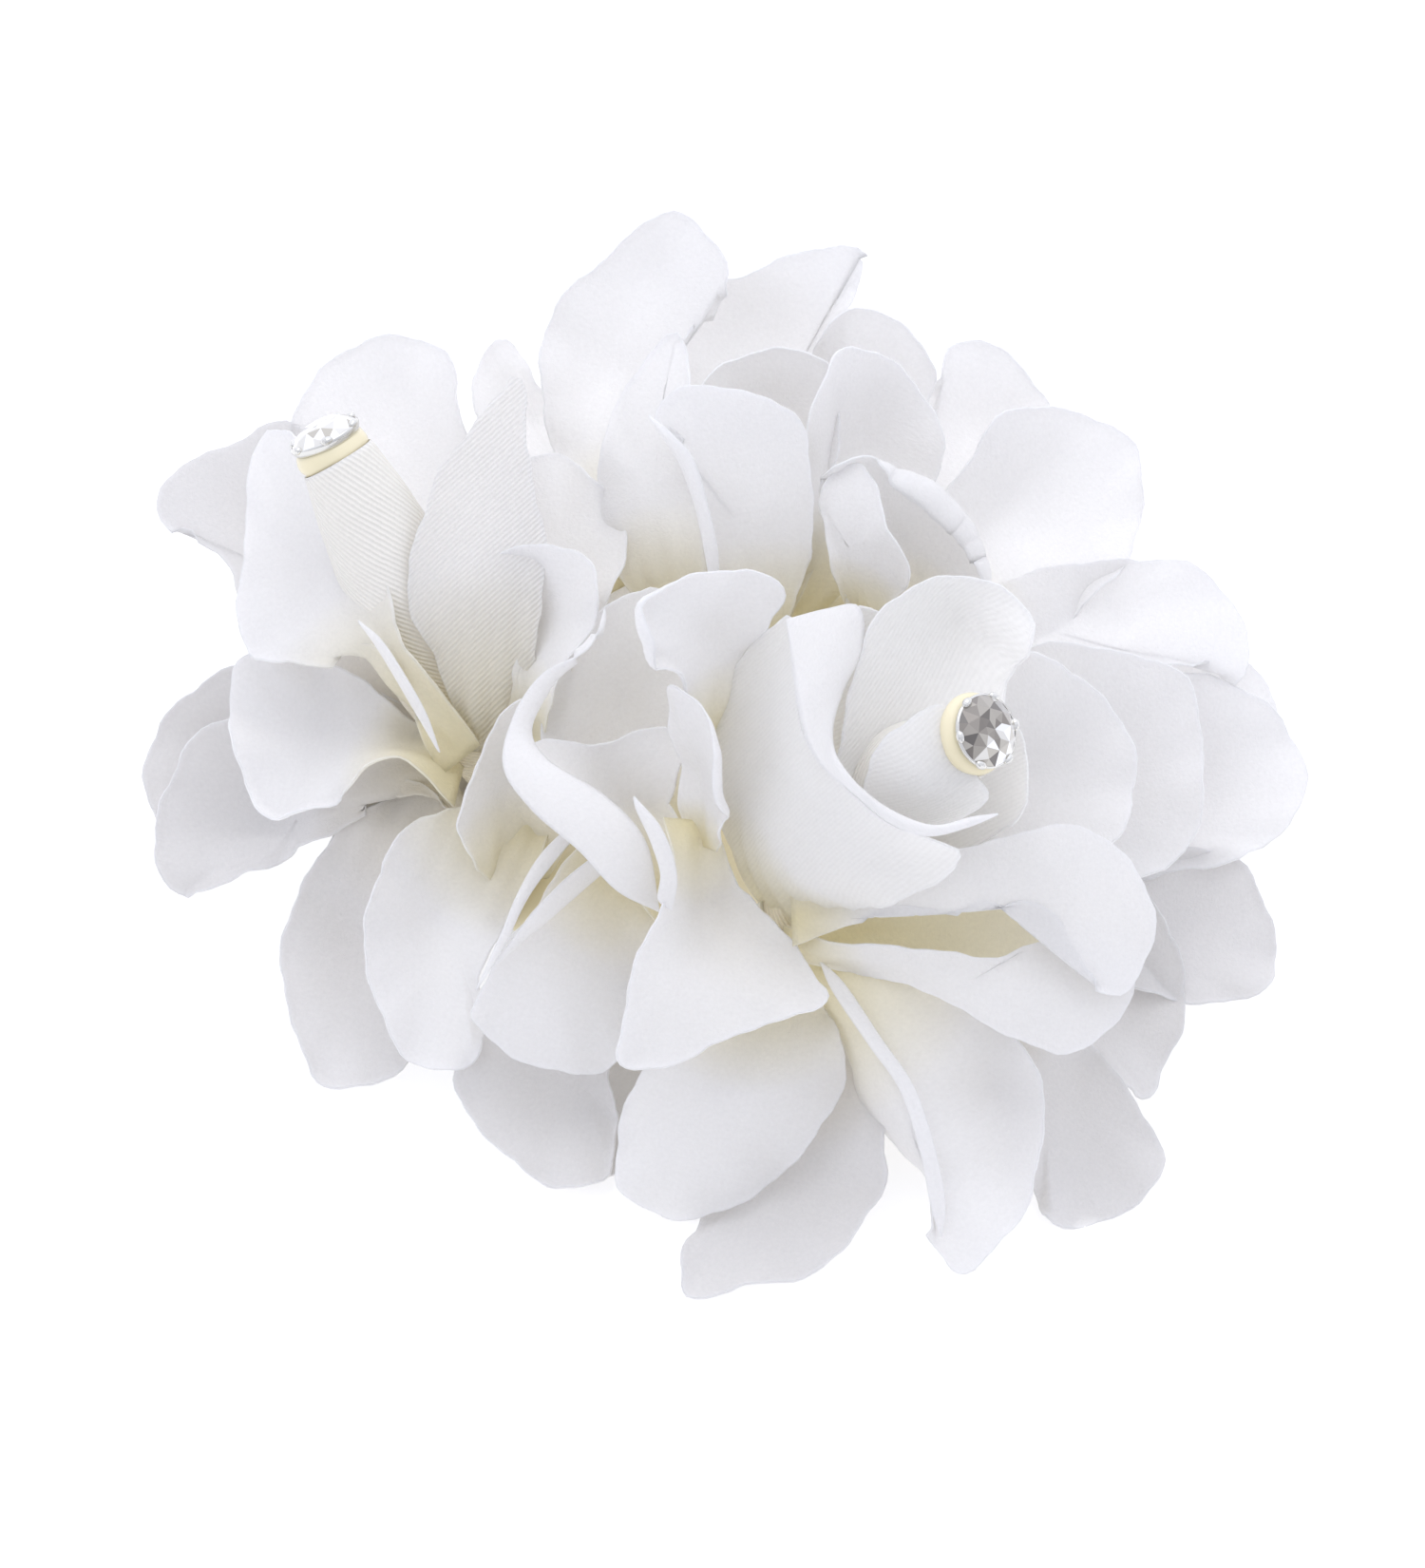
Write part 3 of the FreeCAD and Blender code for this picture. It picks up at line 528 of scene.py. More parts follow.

# ---------------------------------------------------------------- petal cuts
# in mm across, up and out of the spray's face, in the order that petal_grid and band_grid give
PETALS = {
    "left_outer": [
        ("ear", (-20, 10.2, 3), 6,
         [(-27.2, 30.9, -2), (-35.2, 39.5, -6), (-42, 37.5, -9), (-46.5, 35.4, -10)],
         (-48.5, 31.9, -10),
         [(-47.7, 29.2, -9.5), (-44.5, 28, -8.5), (-41.6, 25.5, -7.5), (-40.2, 21.4, -6),
          (-39.4, 17.4, -5), (-33.5, 15.7, -3)],
         [(-38, 29.1, -9)],
         (8, 3, 0), 0.5, 0.1),
        ("far_side", (-20, 6.1, 3), 7.5,
         [(-33.5, 16.5, -4), (-43.8, 15.6, -9)],
         (-50, 7.5, -11),
         [(-48.3, 1.2, -10), (-33.5, 0.3, -2)],
         [(-40.7, 9.3, -11)],
         (15, 25, 15), 1, 0.25),
        ("low_side", (-19.5, 4.9, 5), 7.5,
         [(-33.5, 12.4, -1), (-43.8, 10.6, -4), (-48.8, 2.1, -6)],
         (-46.5, -5.7, -7),
         [(-39.3, -3.2, -4), (-31.7, 0.3, 1), (-24.5, 4, 5)],
         [(-38.9, 3, -7)],
         (10, 35, 30), 1, 0.4),
        ("front_dark", (-18.2, 3.9, 5), 7.5,
         [(-23.1, 5.2, 3), (-28.5, 3, 2), (-34.6, -3.8, 1), (-36.6, -13.2, 3)],
         (-32.1, -23.4, 5),
         [(-24.9, -21.8, 5), (-22.2, -10.5, 4)],
         [(-29.4, -8.7, -1), (-29.9, -18.6, 3)],
         (10, 35, 10), 1, 0.3),
        ("under_left", (-18.2, 7.5, 2), 7.5,
         [(-24.5, 14.7, -4), (-27.2, 12.9, -6)],
         (-33.5, 8.4, -9),
         [(-29, 3, -7), (-22.7, 3, -3)],
         [(-25.4, 8.4, -6)],
         (10, 10, 10), 1, 0.2),
    ],
    "left_inner": [
        ("back_round", (-17.7, 8.4, 5), 5,
         [(-30.8, 23.7, -2), (-36, 38.5, -6), (-33.5, 44.2, -6)],
         (-27, 48.1, -5),
         [(-20.9, 46, -3), (-19.1, 39, -1), (-18.2, 23.7, 2)],
         [(-25.4, 32.7, -6), (-26.3, 41.7, -7)],
         (20, 30, 10), 1, 0.25),
        ("broad_side", (-19.3, 7.5, 10), 5,
         [(-27.2, 16, 13), (-32.6, 16.3, 11), (-39.6, 17.4, 7), (-40.1, 27.3, 4)],
         (-37.8, 38.8, 1),
         [(-31.7, 34.5, 10), (-27.4, 26.4, 14), (-23.6, 17.4, 15)],
         [(-33.5, 25.5, 6), (-27.2, 17.4, 13)],
         (25, 10, 50), 1, 0.25),
        ("", (-21.3, 8.2, 15), 5,
         [(-23.8, 12.4, 15.8), (-26.2, 16.5, 16), (-27.8, 19, 15.6)],
         (-28.9, 20.5, 14.8),
         [(-27, 19, 16.6), (-25, 16.2, 17), (-22.5, 11.8, 16.6)],
         0.3,
         (0, 0, 0), 1, 0.03),
        ("wavy_side", (-19.5, 5.2, 8), 5,
         [(-25.4, 12.9, 6), (-33.5, 17.4, 3), (-40.2, 17.4, 2)],
         (-41.1, 8.4, 3),
         [(-37.1, 1.9, 6), (-31.7, 3, 10), (-25.4, 7.7, 13)],
         [(-33.5, 10.2, 2), (-24.5, 9.3, 5)],
         (10, 25, 70), 1, 0.5),
        ("front_light", (-12.8, 3, 8), 5,
         [(-24.5, 1.2, 10), (-27.9, -4.2, 10), (-28, -14.1, 9)],
         (-23.6, -21.2, 9),
         [(-17.7, -20.9, 9), (-17.1, -12.3, 10), (-12.8, -4.2, 11)],
         [(-22.2, -7.8, 7)],
         (40, 25, 15), 1, 0.35),
        ("curled_leaf", (-13.7, -4.2, 8), 5,
         [(-18.2, -2.4, 12), (-19.7, 1.6, 14), (-17.7, 7.9, 15)],
         (-13.7, 13.3, 16),
         [(-9.2, 8.4, 12), (-7.8, 1.2, 11)],
         [(-13.7, 3, 9)],
         (80, 40, 10), 0.7, 0.25),
    ],
    "left_wrap": [
        ("thin_wing", (-14.1, 8.8, 9), 5,
         [(-15.9, 23.7, 13), (-15.5, 34.5, 9)],
         (-10.1, 36, 8),
         [(-4.2, 30.9, 10), (-4.7, 23.7, 14), (-9.2, 14.7, 15)],
         [(-10.5, 25.5, 10)],
         (10, 20, 30), 1, 0.45),
        ("thin_curl", (-13.9, 8.4, 12), 5,
         [(-13.9, 17.4, 15), (-16.8, 26.2, 16)],
         (-12.8, 27.7, 16),
         [(-8.3, 26.8, 18), (-6.1, 23.7, 20), (-7.2, 19.2, 20), (-10.1, 15.1, 19)],
         [(-11.9, 21, 14)],
         (5, 10, 25), 0.7, 0.3),
    ],
    "left_budwrap": [
        ("twill_wing", (-15.9, 8.2, 9), 5,
         [(-20.9, 14.7, 13), (-24.2, 22.8, 15), (-22.2, 32.7, 14), (-18.5, 38.5, 12)],
         (-14.1, 43.7, 10),
         [(-13.1, 37.2, 12), (-11.4, 26.4, 15), (-12.3, 16.5, 16)],
         [(-19.1, 23.7, 18), (-16.4, 34.5, 12.6)],
         (10, 2, 3), 0.5, 0.06),
    ],
    "right_outer": [
        ("front_dark", (11.5, -12.3, 14), 7.5,
         [(6.1, -27.6, 12), (2, -37.5, 15)],
         (1.8, -42.8, 20),
         [(8.8, -41.8, 19), (16, -39.2, 18), (20.8, -28.1, 16)],
         [(11.5, -30.3, 12)],
         (15, 20, 15), 1, 0.4),
        ("front_low_left", (-6.5, -6.9, 10), 7.5,
         [(-15.5, -15.9, 8), (-20, -22.2, 8), (-16.4, -29, 9)],
         (-9.6, -32.9, 12),
         [(-5.4, -31.7, 12), (-5.6, -15.9, 9)],
         [(-11.9, -22.2, 6)],
         (20, 20, 40), 1, 0.3),
        ("front_low_right", (23.2, -13.2, 12), 7.5,
         [(36.7, -15.9, 11), (43.9, -24, 9)],
         (46.7, -30.8, 11),
         [(43, -35.3, 13), (35.8, -35.9, 14), (33.1, -28.5, 13)],
         [(38.5, -24, 9), (40.3, -29.9, 10)],
         (15, 20, 10), 1, 0.35),
        ("wide_side", (20.5, -1.5, 12), 7.5,
         [(40.3, 14.7, 4), (51.1, 15.4, 1), (57.9, 12.1, 0)],
         (60.5, 4.3, 0),
         [(57, -0.6, 1), (47.5, -3.5, 3), (34, -5.1, 8)],
         [(49.3, 6.1, -1)],
         (15, 25, 15), 1, 0.35),
        ("wide_side_back", (20.5, 2.1, 8), 7.5,
         [(40.3, 16.5, 1), (54.7, 17, -4)],
         (58.1, 12.4, -6),
         [(57.9, 3.9, -5), (40.3, 0.3, 0)],
         [(47.5, 10.2, -4)],
         (10, 15, 10), 1, 0.25),
        ("low_side", (25.9, -6, 12), 7.5,
         [(40.3, -0.6, 6), (53.8, -1.8, 1)],
         (57.9, -10.5, 0),
         [(55.8, -14.7, 2), (49.3, -15.6, 4), (37.6, -11.4, 8)],
         [(47.5, -7.4, 1)],
         (15, 25, 25), 1, 0.4),
        ("under_side", (25, -8.7, 12), 7.5,
         [(38.5, -1.5, 8), (46.6, -6.9, 5), (49.1, -13.2, 4)],
         (45.5, -24.5, 6),
         [(41.2, -22.2, 8), (31.3, -15.9, 12)],
         [(40.3, -13.2, 4)],
         (20, 20, 15), 1, 0.35),
        ("shade_petal", (-1.1, -11.4, 8), 7.5,
         [(-6.7, -18.6, 1), (-8.8, -25.8, 5.5)],
         (-5.8, -31.7, 10.6),
         [(-1.1, -28.5, 8), (2, -20.4, 2)],
         [(-4.2, -24, 4)],
         (5, 5, 5), 1, 0.05),
    ],
    "right_middle": [
        ("folded_side", (-3.8, -0.6, 15), 5,
         [(-8.7, -1.1, 18), (-12.8, -6.9, 18), (-17.1, -13.2, 16), (-18.4, -16.8, 15)],
         (-12.8, -21, 14),
         [(-5.6, -21.8, 14), (-2.7, -15.9, 14), (-0.2, -7.8, 15)],
         [(-5.6, -6.9, 15), (-7.4, -13.2, 16), (-10.1, -18.2, 16)],
         (20, 20, 10), 0.9, 0.25),
        ("", (-7.7, 1.5, 19), 5,
         [(-9.2, 1, 20), (-11.8, -1.5, 20), (-13.9, -5.1, 20), (-15.7, -9.2, 20)],
         (-17.9, -14.1, 18),
         [(-15, -9.2, 19), (-12.8, -5.1, 20), (-10.1, -1.5, 20)],
         0.4,
         (0, 0, 0), 1, 0.05),
        ("", (-4.7, -0.6, 19), 5,
         [(-6.3, -1.3, 21), (-9.6, -3.8, 21), (-12.5, -6.9, 21)],
         (-16.4, -11.9, 18),
         [(-11, -7.4, 19), (-7.8, -4.7, 19), (-5.1, -2, 19)],
         0.4,
         (0, 0, 0), 1, 0.05),
        ("front_round", (8.8, -9.6, 18), 5,
         [(-0.2, -18.6, 16), (-4.5, -26.7, 15), (-4.3, -32.6, 14)],
         (1.4, -35.8, 14),
         [(8.8, -33, 15), (14.9, -26.7, 17), (16.7, -19.5, 19)],
         [(5.7, -24, 21), (4.3, -32.1, 17)],
         (20, 20, 15), 1, 0.3),
        ("creased_front", (13.3, -10.5, 18), 5,
         [(15.3, -16.8, 16), (18.3, -24.5, 14), (21.9, -29.6, 14), (24.2, -32.1, 15), (24.8, -37.5, 17)],
         (27.5, -40.9, 18),
         [(32.2, -36.6, 18), (35.3, -29.4, 18), (34.5, -21.3, 18), (29.5, -15, 19)],
         [(15.8, -14.1, 23), (19.4, -19.1, 24), (22.3, -23.1, 24), (24.3, -28.5, 22),
          (25.5, -34.4, 20), (29.5, -24, 16), (31.3, -30.3, 16)],
         (10, 15, 25), 1, 0.2),
        ("", (14.4, -11.4, 22), 5,
         [(15.3, -13.7, 24), (18.9, -19.1, 25), (21.7, -23.1, 25), (23.7, -29, 23.4), (24.8, -34.4, 21)],
         (25.7, -37.1, 19),
         [(26, -34.1, 21), (24.9, -28.5, 23.4), (22.9, -22.8, 25), (20.1, -18.7, 25), (16.5, -13.4, 24)],
         0.5,
         (0, 0, 0), 1, 0.03),
        ("far_side", (16, -4.2, 15), 5,
         [(32.2, 17.4, 12), (43, 17.8, 9), (48.9, 15.1, 8)],
         (50.8, 6.6, 8),
         [(48.4, -2, 9), (40.3, -4.7, 11), (26.8, -6, 14)],
         [(41.2, 6.6, 6)],
         (15, 25, 15), 1, 0.3),
    ],
    "right_inner": [
        ("cupped_wave", (1.2, -6.5, 17), 5,
         [(-4.2, -3.4, 22), (-7.7, 0.7, 23), (-12.3, 4.3, 23)],
         (-14.8, 7.3, 22),
         [(-11.4, 9.2, 20), (-5.1, 9.3, 19), (-0.7, 10.5, 19), (1.4, 9.7, 20), (2.1, 5.7, 21),
          (2.3, 0.3, 20)],
         [(-5.6, 6.6, 17), (-2, 3, 15), (-1.1, -1.5, 16)],
         (15, 10, 25), 0.8, 0.15),
        ("", (-0.7, -6.7, 23), 5,
         [(-4.7, -4.7, 26), (-8.1, -1.1, 27), (-12.6, 2.8, 27), (-15.2, 6.7, 26), (-14.3, 11.5, 24),
          (-11.7, 15.4, 23), (-7.2, 17.9, 22)],
         (-5.8, 21.7, 20),
         [(-6.2, 19.7, 20), (-10.6, 14.6, 21), (-12.6, 10.3, 22), (-11.2, 7.5, 24), (-5.6, 4, 25),
          (-2, -0.1, 25)],
         0.7,
         (0, 0, 0), 1, 0.08),
        ("cupped_back", (1.6, -1.5, 14), 5,
         [(-4.7, 2.1, 12), (-11, 7.5, 14), (-11.9, 12.4, 16)],
         (-9.2, 17.4, 17),
         [(-5.6, 21.9, 17), (-1.1, 23.7, 16), (2.1, 18.3, 17), (3.4, 9.3, 16)],
         [(-4.7, 12.9, 11)],
         (10, 15, 10), 1, 0.2),
        ("standing_curl", (4.5, 7.5, 20), 5,
         [(0.9, 14.5, 29), (-2.7, 17.5, 32), (-2.9, 21.4, 32)],
         (3.9, 25.3, 31),
         [(11.1, 23.1, 28), (9.5, 19.6, 26), (6.6, 14.7, 23)],
         [(3.9, 20.5, 26)],
         (140, 35, 20), 1, 0.25),
        ("standing_leaf", (3.2, -0.6, 22), 5,
         [(0.9, 3, 22), (0.2, 10.2, 25)],
         (0.9, 14.5, 28),
         [(4.1, 11.1, 31), (5.7, 4.8, 31), (5.6, 1.3, 28)],
         [(2.7, 6.6, 24)],
         (15, 20, 110), 0.7, 0.25),
        ("spoon", (1.8, 1.9, 23), 4.4,
         [(0.5, -2, 27), (-0.5, -5.1, 28), (-2.7, -11, 28), (-4.2, -16.4, 27), (-4.3, -20.9, 26)],
         (1.2, -20.8, 26),
         [(7.9, -17.6, 27), (15.4, -15, 27), (13.3, -11.6, 24), (7.5, -4.2, 22), (5.2, -0.2, 22)],
         [(3.4, -6, 19), (3.4, -13.7, 26)],
         (30, 15, 10), 1, 0.2),
        ("", (0.5, -6.5, 27.5), 5,
         [(1, -3.8, 29), (0.6, -1.5, 29.5), (-0.6, 1.3, 30)],
         (-3, 4, 29.5),
         [(-2.8, 3, 29.5), (-1.5, 0.1, 29.5), (-0.5, -3.2, 29), (-0.7, -5.6, 28)],
         0.4,
         (0, 0, 0), 1, 0.02),
        ("lip_upper", (11.7, -7.5, 24), 5,
         [(17.8, -4.2, 28), (23.2, -2, 31), (29.5, -0.2, 31.5), (35.8, 1.3, 29), (41.7, -0.2, 26)],
         (45.4, -6, 24),
         [(44.8, -11.4, 25), (42.8, -14.3, 26.5), (39.9, -14.1, 28.5), (37.2, -10.5, 30),
          (34.7, -7.2, 30), (30.9, -6.3, 29), (25.5, -7.1, 29), (18.9, -7.5, 27)],
         [(26.8, -3.8, 31), (34.9, -2, 30.5), (40.3, -6.9, 28.8), (41.7, -11, 28)],
         (3, 3, 0), 0.5, 0.05),
        ("lip_petal", (11, -9.5, 20), 3,
         [(15.1, -9.6, 25), (18.9, -9.6, 27), (23.6, -10.2, 28), (26.8, -10.6, 28),
          (30.9, -10.6, 27.5), (34.5, -9.6, 27), (38.1, -9.2, 26.2)],
         (43.9, -11.4, 24),
         [(42.1, -16.8, 25), (36.7, -20, 26.5), (30.9, -17.6, 27), (25.5, -14.7, 26), (17.8, -12.5, 23)],
         [(26.8, -13.4, 28), (32.2, -14.6, 28.2), (37.6, -13.7, 27)],
         (0, 10, 5), 0.5, 0.06),
        ("slot_back", (12, -8.3, 18), 5,
         [(17.8, -5.5, 20), (26.8, -3.7, 21), (35.8, -3.2, 21)],
         (43.9, -9.2, 19),
         [(34.9, -13.8, 20), (25, -13.2, 20), (17.8, -10.8, 19)],
         [(25, -8.6, 19.5), (34, -8.7, 20)],
         (5, 5, 5), 1, 0.05),
        ("behind_stone", (16, -3.3, 18), 5,
         [(26.8, 12.9, 22), (33.1, 17.4, 20), (39.9, 14.5, 17)],
         (44, 7.5, 16),
         [(42.8, 0.7, 18), (37.6, -2.9, 20), (26.8, -4.2, 20)],
         [(34.9, 6.6, 15)],
         (15, 20, 20), 1, 0.3),
    ],
    "right_wrap": [
        ("outer_front", (10.6, -7.5, 17), 3,
         [(6.3, -2, 19), (4.5, 4.8, 20), (4.6, 11.1, 21), (6.6, 16.5, 24)],
         (11.4, 20.8, 29),
         [(12, 15.6, 34), (13.1, 8.9, 37), (17, 4.6, 41), (20.9, 1.5, 43), (24.2, 0.1, 43),
          (27.5, -1.2, 41), (25.5, -4.1, 37), (17.8, -6.7, 26)],
         [(8.8, 8.4, 28), (12.4, 0.3, 33), (19.6, -3.8, 37), (13.3, -4.7, 29.5), (17.2, 1, 39)],
         (5, 6, 2), 0.5, 0.03),
        ("", (30.6, 2.4, 41.5), 5,
         [(27.8, 1.2, 43.5), (24.2, 0.4, 44), (20.9, 1.5, 43.5), (17, 4.6, 42), (14.6, 6.6, 40),
          (13.1, 8.9, 39), (12.1, 12.8, 38), (11.7, 16, 36)],
         (11.2, 20.4, 33),
         [(14.9, 21.4, 33), (17.8, 21.7, 33), (18.2, 17.9, 34), (16.4, 13.9, 36), (15.4, 10.4, 38),
          (15.8, 7.5, 40), (18.2, 4.6, 42), (21.4, 2.4, 43.3), (24.8, 1.3, 43.6), (28.2, 2.1, 43)],
         0.5,
         (0, 0, 0), 1, 0.03),
        ("outer_back", (11.5, -6.5, 14), 3,
         [(12.9, 11.1, 18), (15.6, 18.3, 22)],
         (18.3, 21.9, 26),
         [(26.8, 16.5, 24), (33.1, 9.3, 28), (33.6, 3, 32), (26.8, -1.5, 26)],
         [(19.6, 7.5, 18)],
         (10, 10, 10), 0.6, 0.1),
        ("inner_cup", (17.8, -4.2, 20), 4,
         [(16.9, 0.3, 29), (16, 7.5, 34), (17.2, 14.7, 35)],
         (20.1, 21.4, 33),
         [(25, 24.4, 31), (30.9, 23.5, 31), (34.5, 19.6, 33), (35.1, 15.6, 36), (30.4, 7.5, 34),
          (23.2, 0.3, 30)],
         [(23.2, 16.5, 31), (20.5, 7.5, 32), (30.4, 18.3, 29)],
         (20, 25, 15), 0.7, 0.08),
        ("bud_lap", (20.5, -2.9, 26), 4,
         [(18.3, 2.1, 35), (18.9, 7.5, 39), (21, 10.6, 41)],
         (24.6, 12.7, 41),
         [(26.8, 11.1, 41), (27.5, 7.5, 41), (30, 3.9, 39), (26.8, 1.9, 36), (23.2, 0.3, 31)],
         [(23.2, 5.7, 41.5)],
         (10, 10, 8), 0.7, 0.04),
    ],
    "top_outer": [
        ("back_creased", (7.5, 21.9, -4), 7.5,
         [(-0.2, 40.8, -7), (3, 51.6, -6), (7.9, 54.3, -4)],
         (16, 56.2, -3),
         [(19.2, 55.6, -3), (17.8, 51.4, -4), (14.2, 40.8, -6)],
         [(8.8, 48.9, -9), (13.3, 51.6, -5)],
         (10, 12, 6), 1, 0.25),
        ("back_right", (13.3, 21.9, -5), 7.5,
         [(23.2, 38.1, -6), (25.9, 46, -6)],
         (30, 47.4, -6),
         [(34.9, 43.9, -6), (36.7, 39.9, -6), (29.5, 29.1, -4)],
         [(29.1, 39, -9)],
         (10, 25, 20), 1, 0.3),
        ("right_low", (14.2, 17.4, 0), 7.5,
         [(26.8, 23.2, 3), (35.8, 25.5, 2), (43.9, 26.8, 1), (50.7, 25.3, 0)],
         (55.2, 19.2, 0),
         [(53.8, 14.8, 1), (47.5, 15.9, 3), (35.8, 15.6, 5)],
         [(43, 20.5, -1)],
         (6, 12, 8), 1, 0.2),
        ("left_small", (-2.9, 24.6, -3), 7.5,
         [(-14.1, 34.5, -6), (-18.9, 41.7, -7)],
         (-16.2, 47.3, -8),
         [(-12.6, 44.4, -8), (-5.6, 33.6, -6)],
         [(-13.7, 39.9, -10)],
         (10, 20, 20), 1, 0.25),
        ("under_fill", (1.6, 14.7, 0), 7.5,
         [(-5.6, 12.9, 1), (-10.1, 18.3, -1)],
         (-10.1, 26.4, -4),
         [(-3.8, 30.9, -5), (3.4, 25.5, -3)],
         [(-3.8, 21.9, -4)],
         (10, 20, 10), 1, 0.2),
    ],
    "top_inner": [
        ("tall", (1.2, 20.1, 0), 5,
         [(-9.2, 32.7, -3), (-12.5, 43.5, -3), (-10.1, 51.7, -3), (-4.7, 56.4, -2)],
         (0.3, 59.7, -1),
         [(4.5, 56.8, -1), (5.9, 52, -1), (-0.2, 41.7, 2)],
         [(-4.2, 43.5, -6), (-2, 53.4, -4)],
         (20, 30, 25), 1, 0.3),
        ("back_small", (8.8, 21.9, -4), 5,
         [(12.9, 39.9, -4), (14.7, 48.4, -3)],
         (19.2, 50.7, -2),
         [(24.3, 47.1, -3), (25.5, 42.6, -4), (19.6, 32.7, -5)],
         [(18.7, 42.6, -8)],
         (15, 40, 20), 1, 0.25),
        ("big_round", (16, 19.2, 2), 5,
         [(25.9, 32.7, 1), (32.2, 40.6, -1), (39.4, 40.5, -2)],
         (44.8, 36.7, -2),
         [(45.1, 30, -1), (42.1, 24.1, 1), (32.2, 17.4, 4)],
         [(34.5, 29.1, -5)],
         (20, 30, 20), 1, 0.35),
    ],
    "top_wrap": [
        ("fold_back", (10.2, 19.6, 0), 5,
         [(12.9, 29.1, 8), (12.9, 38.1, 10), (14.9, 44.2, 9)],
         (17.4, 46.3, 6),
         [(23.7, 43.3, 2), (26.4, 36.3, 1), (23.2, 26.4, 2)],
         [(18.7, 37.2, -1)],
         (25, 15, 10), 0.7, 0.25),
        ("trumpet_side", (3.6, 17.4, 6), 5,
         [(-4.9, 25.5, 9), (-6.5, 32.7, 9), (-4.7, 40.8, 10)],
         (1.1, 47.8, 9),
         [(2.1, 43.5, 12), (3, 34.5, 14), (3.9, 25.5, 14)],
         [(-1.5, 32.7, 13), (-0.6, 42.6, 11)],
         (15, 60, 10), 0.8, 0.25),
        ("tent", (20.1, 17.4, 9), 5,
         [(16, 23.7, 13), (14.4, 30, 14), (14.9, 34.7, 15)],
         (19.1, 36.3, 15),
         [(23.9, 35.2, 16), (27.3, 33.1, 16), (29.7, 30, 16), (31.8, 25.5, 16), (30.4, 20.1, 13)],
         [(22.3, 28.2, 10), (26.8, 26.4, 10)],
         (15, 120, 130), 2.1, 0.12),
        ("", (18.3, 20.5, 10), 1.8,
         [(15.6, 25.5, 15), (14.7, 32.7, 15)],
         (18.3, 35.4, 15),
         [(20.5, 30.4, 19), (22.7, 24.4, 18)],
         [(17.8, 28.2, 17)],
         (60, 20, 25), 0.7, 0.15),
    ],
    "top_budwrap": [
        ("trumpet_front", (7.9, 17.4, 6), 5,
         [(3.9, 24.6, 15), (3, 30.9, 17), (1.2, 35.7, 18), (-1.3, 38.8, 18)],
         (1.8, 42.5, 19),
         [(6.4, 42.2, 20), (10.2, 40.9, 20), (12.9, 38.2, 18), (13.8, 31.8, 16), (12.9, 24.6, 13)],
         [(6.1, 37.6, 18.5), (8.8, 30.9, 18)],
         (6, 10, 10), 0.7, 0.08),
        ("", (4.5, 21.9, 15), 5,
         [(3.8, 25.9, 17.5), (2.8, 30.9, 19), (1.2, 35.2, 20), (-0.2, 37.5, 20)],
         (-1.6, 39.7, 19),
         [(-0, 38.4, 21), (2.3, 35.9, 21.5), (4, 30.9, 20.5), (4.9, 25.9, 18.5)],
         0.4,
         (0, 0, 0), 1, 0.03),
        ("trumpet_back", (8.8, 19.6, 2), 5,
         [(2.3, 32.7, 6), (3, 43.3, 5)],
         (9.3, 46.3, 3),
         [(15.3, 45.4, 4), (16, 32.7, 6)],
         [(9.3, 38.1, -1)],
         (10, 40, 10), 1, 0.15),
    ],
}


# ---------------------------------------------------------------- buds, stones and the rest
# each bud: foot of the axis, its direction in the face's own axes, length, radii from foot to mouth, in mm
BUDS = {
    "left": ((-16.7, 6.1, 5.4), (-0.428, 0.882, 0.199), 33.6, [2.0, 3.2, 4.4, 5.0, 5.2, 4.9, 4.3, 3.4]),
    "right": ((10.3, -7.3, 16.6), (0.541, 0.488, 0.685), 33.0, [1.6, 2.4, 3.2, 4.0, 4.5, 4.6, 4.0, 2.9]),
    "top": ((6.3, 16.8, -3.6), (0.075, 0.841, 0.536), 23.0, [2.2, 3.8, 4.8, 5.2, 5.0, 4.4, 3.8, 3.1]),
}
BUD_STARTS = {"left": 0.3, "right": 2.4, "top": 1.0}     # radians, where the strip's inner end lies
BUD_TURNS = 1.12                                         # how often the strip goes round
# which way each stone faces
STONE_AXES = {"left": (-0.43, 0.87, 0.24), "right": (0.62, 0.14, 0.77), "top": (0.1, 0.84, 0.53)}
# each stone's painted facet reflections: share of dark facets, where its painted bright side lies in degrees,
# and how far the two sides differ
PAINTED_STONE_SPARKLE = {"left": (0.06, 90, 0.15), "right": (0.55, 140, 0.9), "top": (0.3, 90, 0.5)}
# the cup under a stone, as radius and height in mm
CUP_PROFILE = [(0.1, -2.3), (1.6, -2.2), (2.7, -1.3), (3.3, -.6), (3.5, -.2), (3.52, .1), (3.35, .15)]
CLAW_RING = 3.4          # mm, radius of the ring on which the claws stand
GLUE_WIDTH = {"left": 0.93, "right": 1.0, "top": 1.0}    # how wide the glue bead stands out, as a share


def square_to(axis):
    """A direction square to the axis, as near to the viewer's as it can be."""
    return unit(np.array([0, 0, 1.0]) - axis[2] * axis)


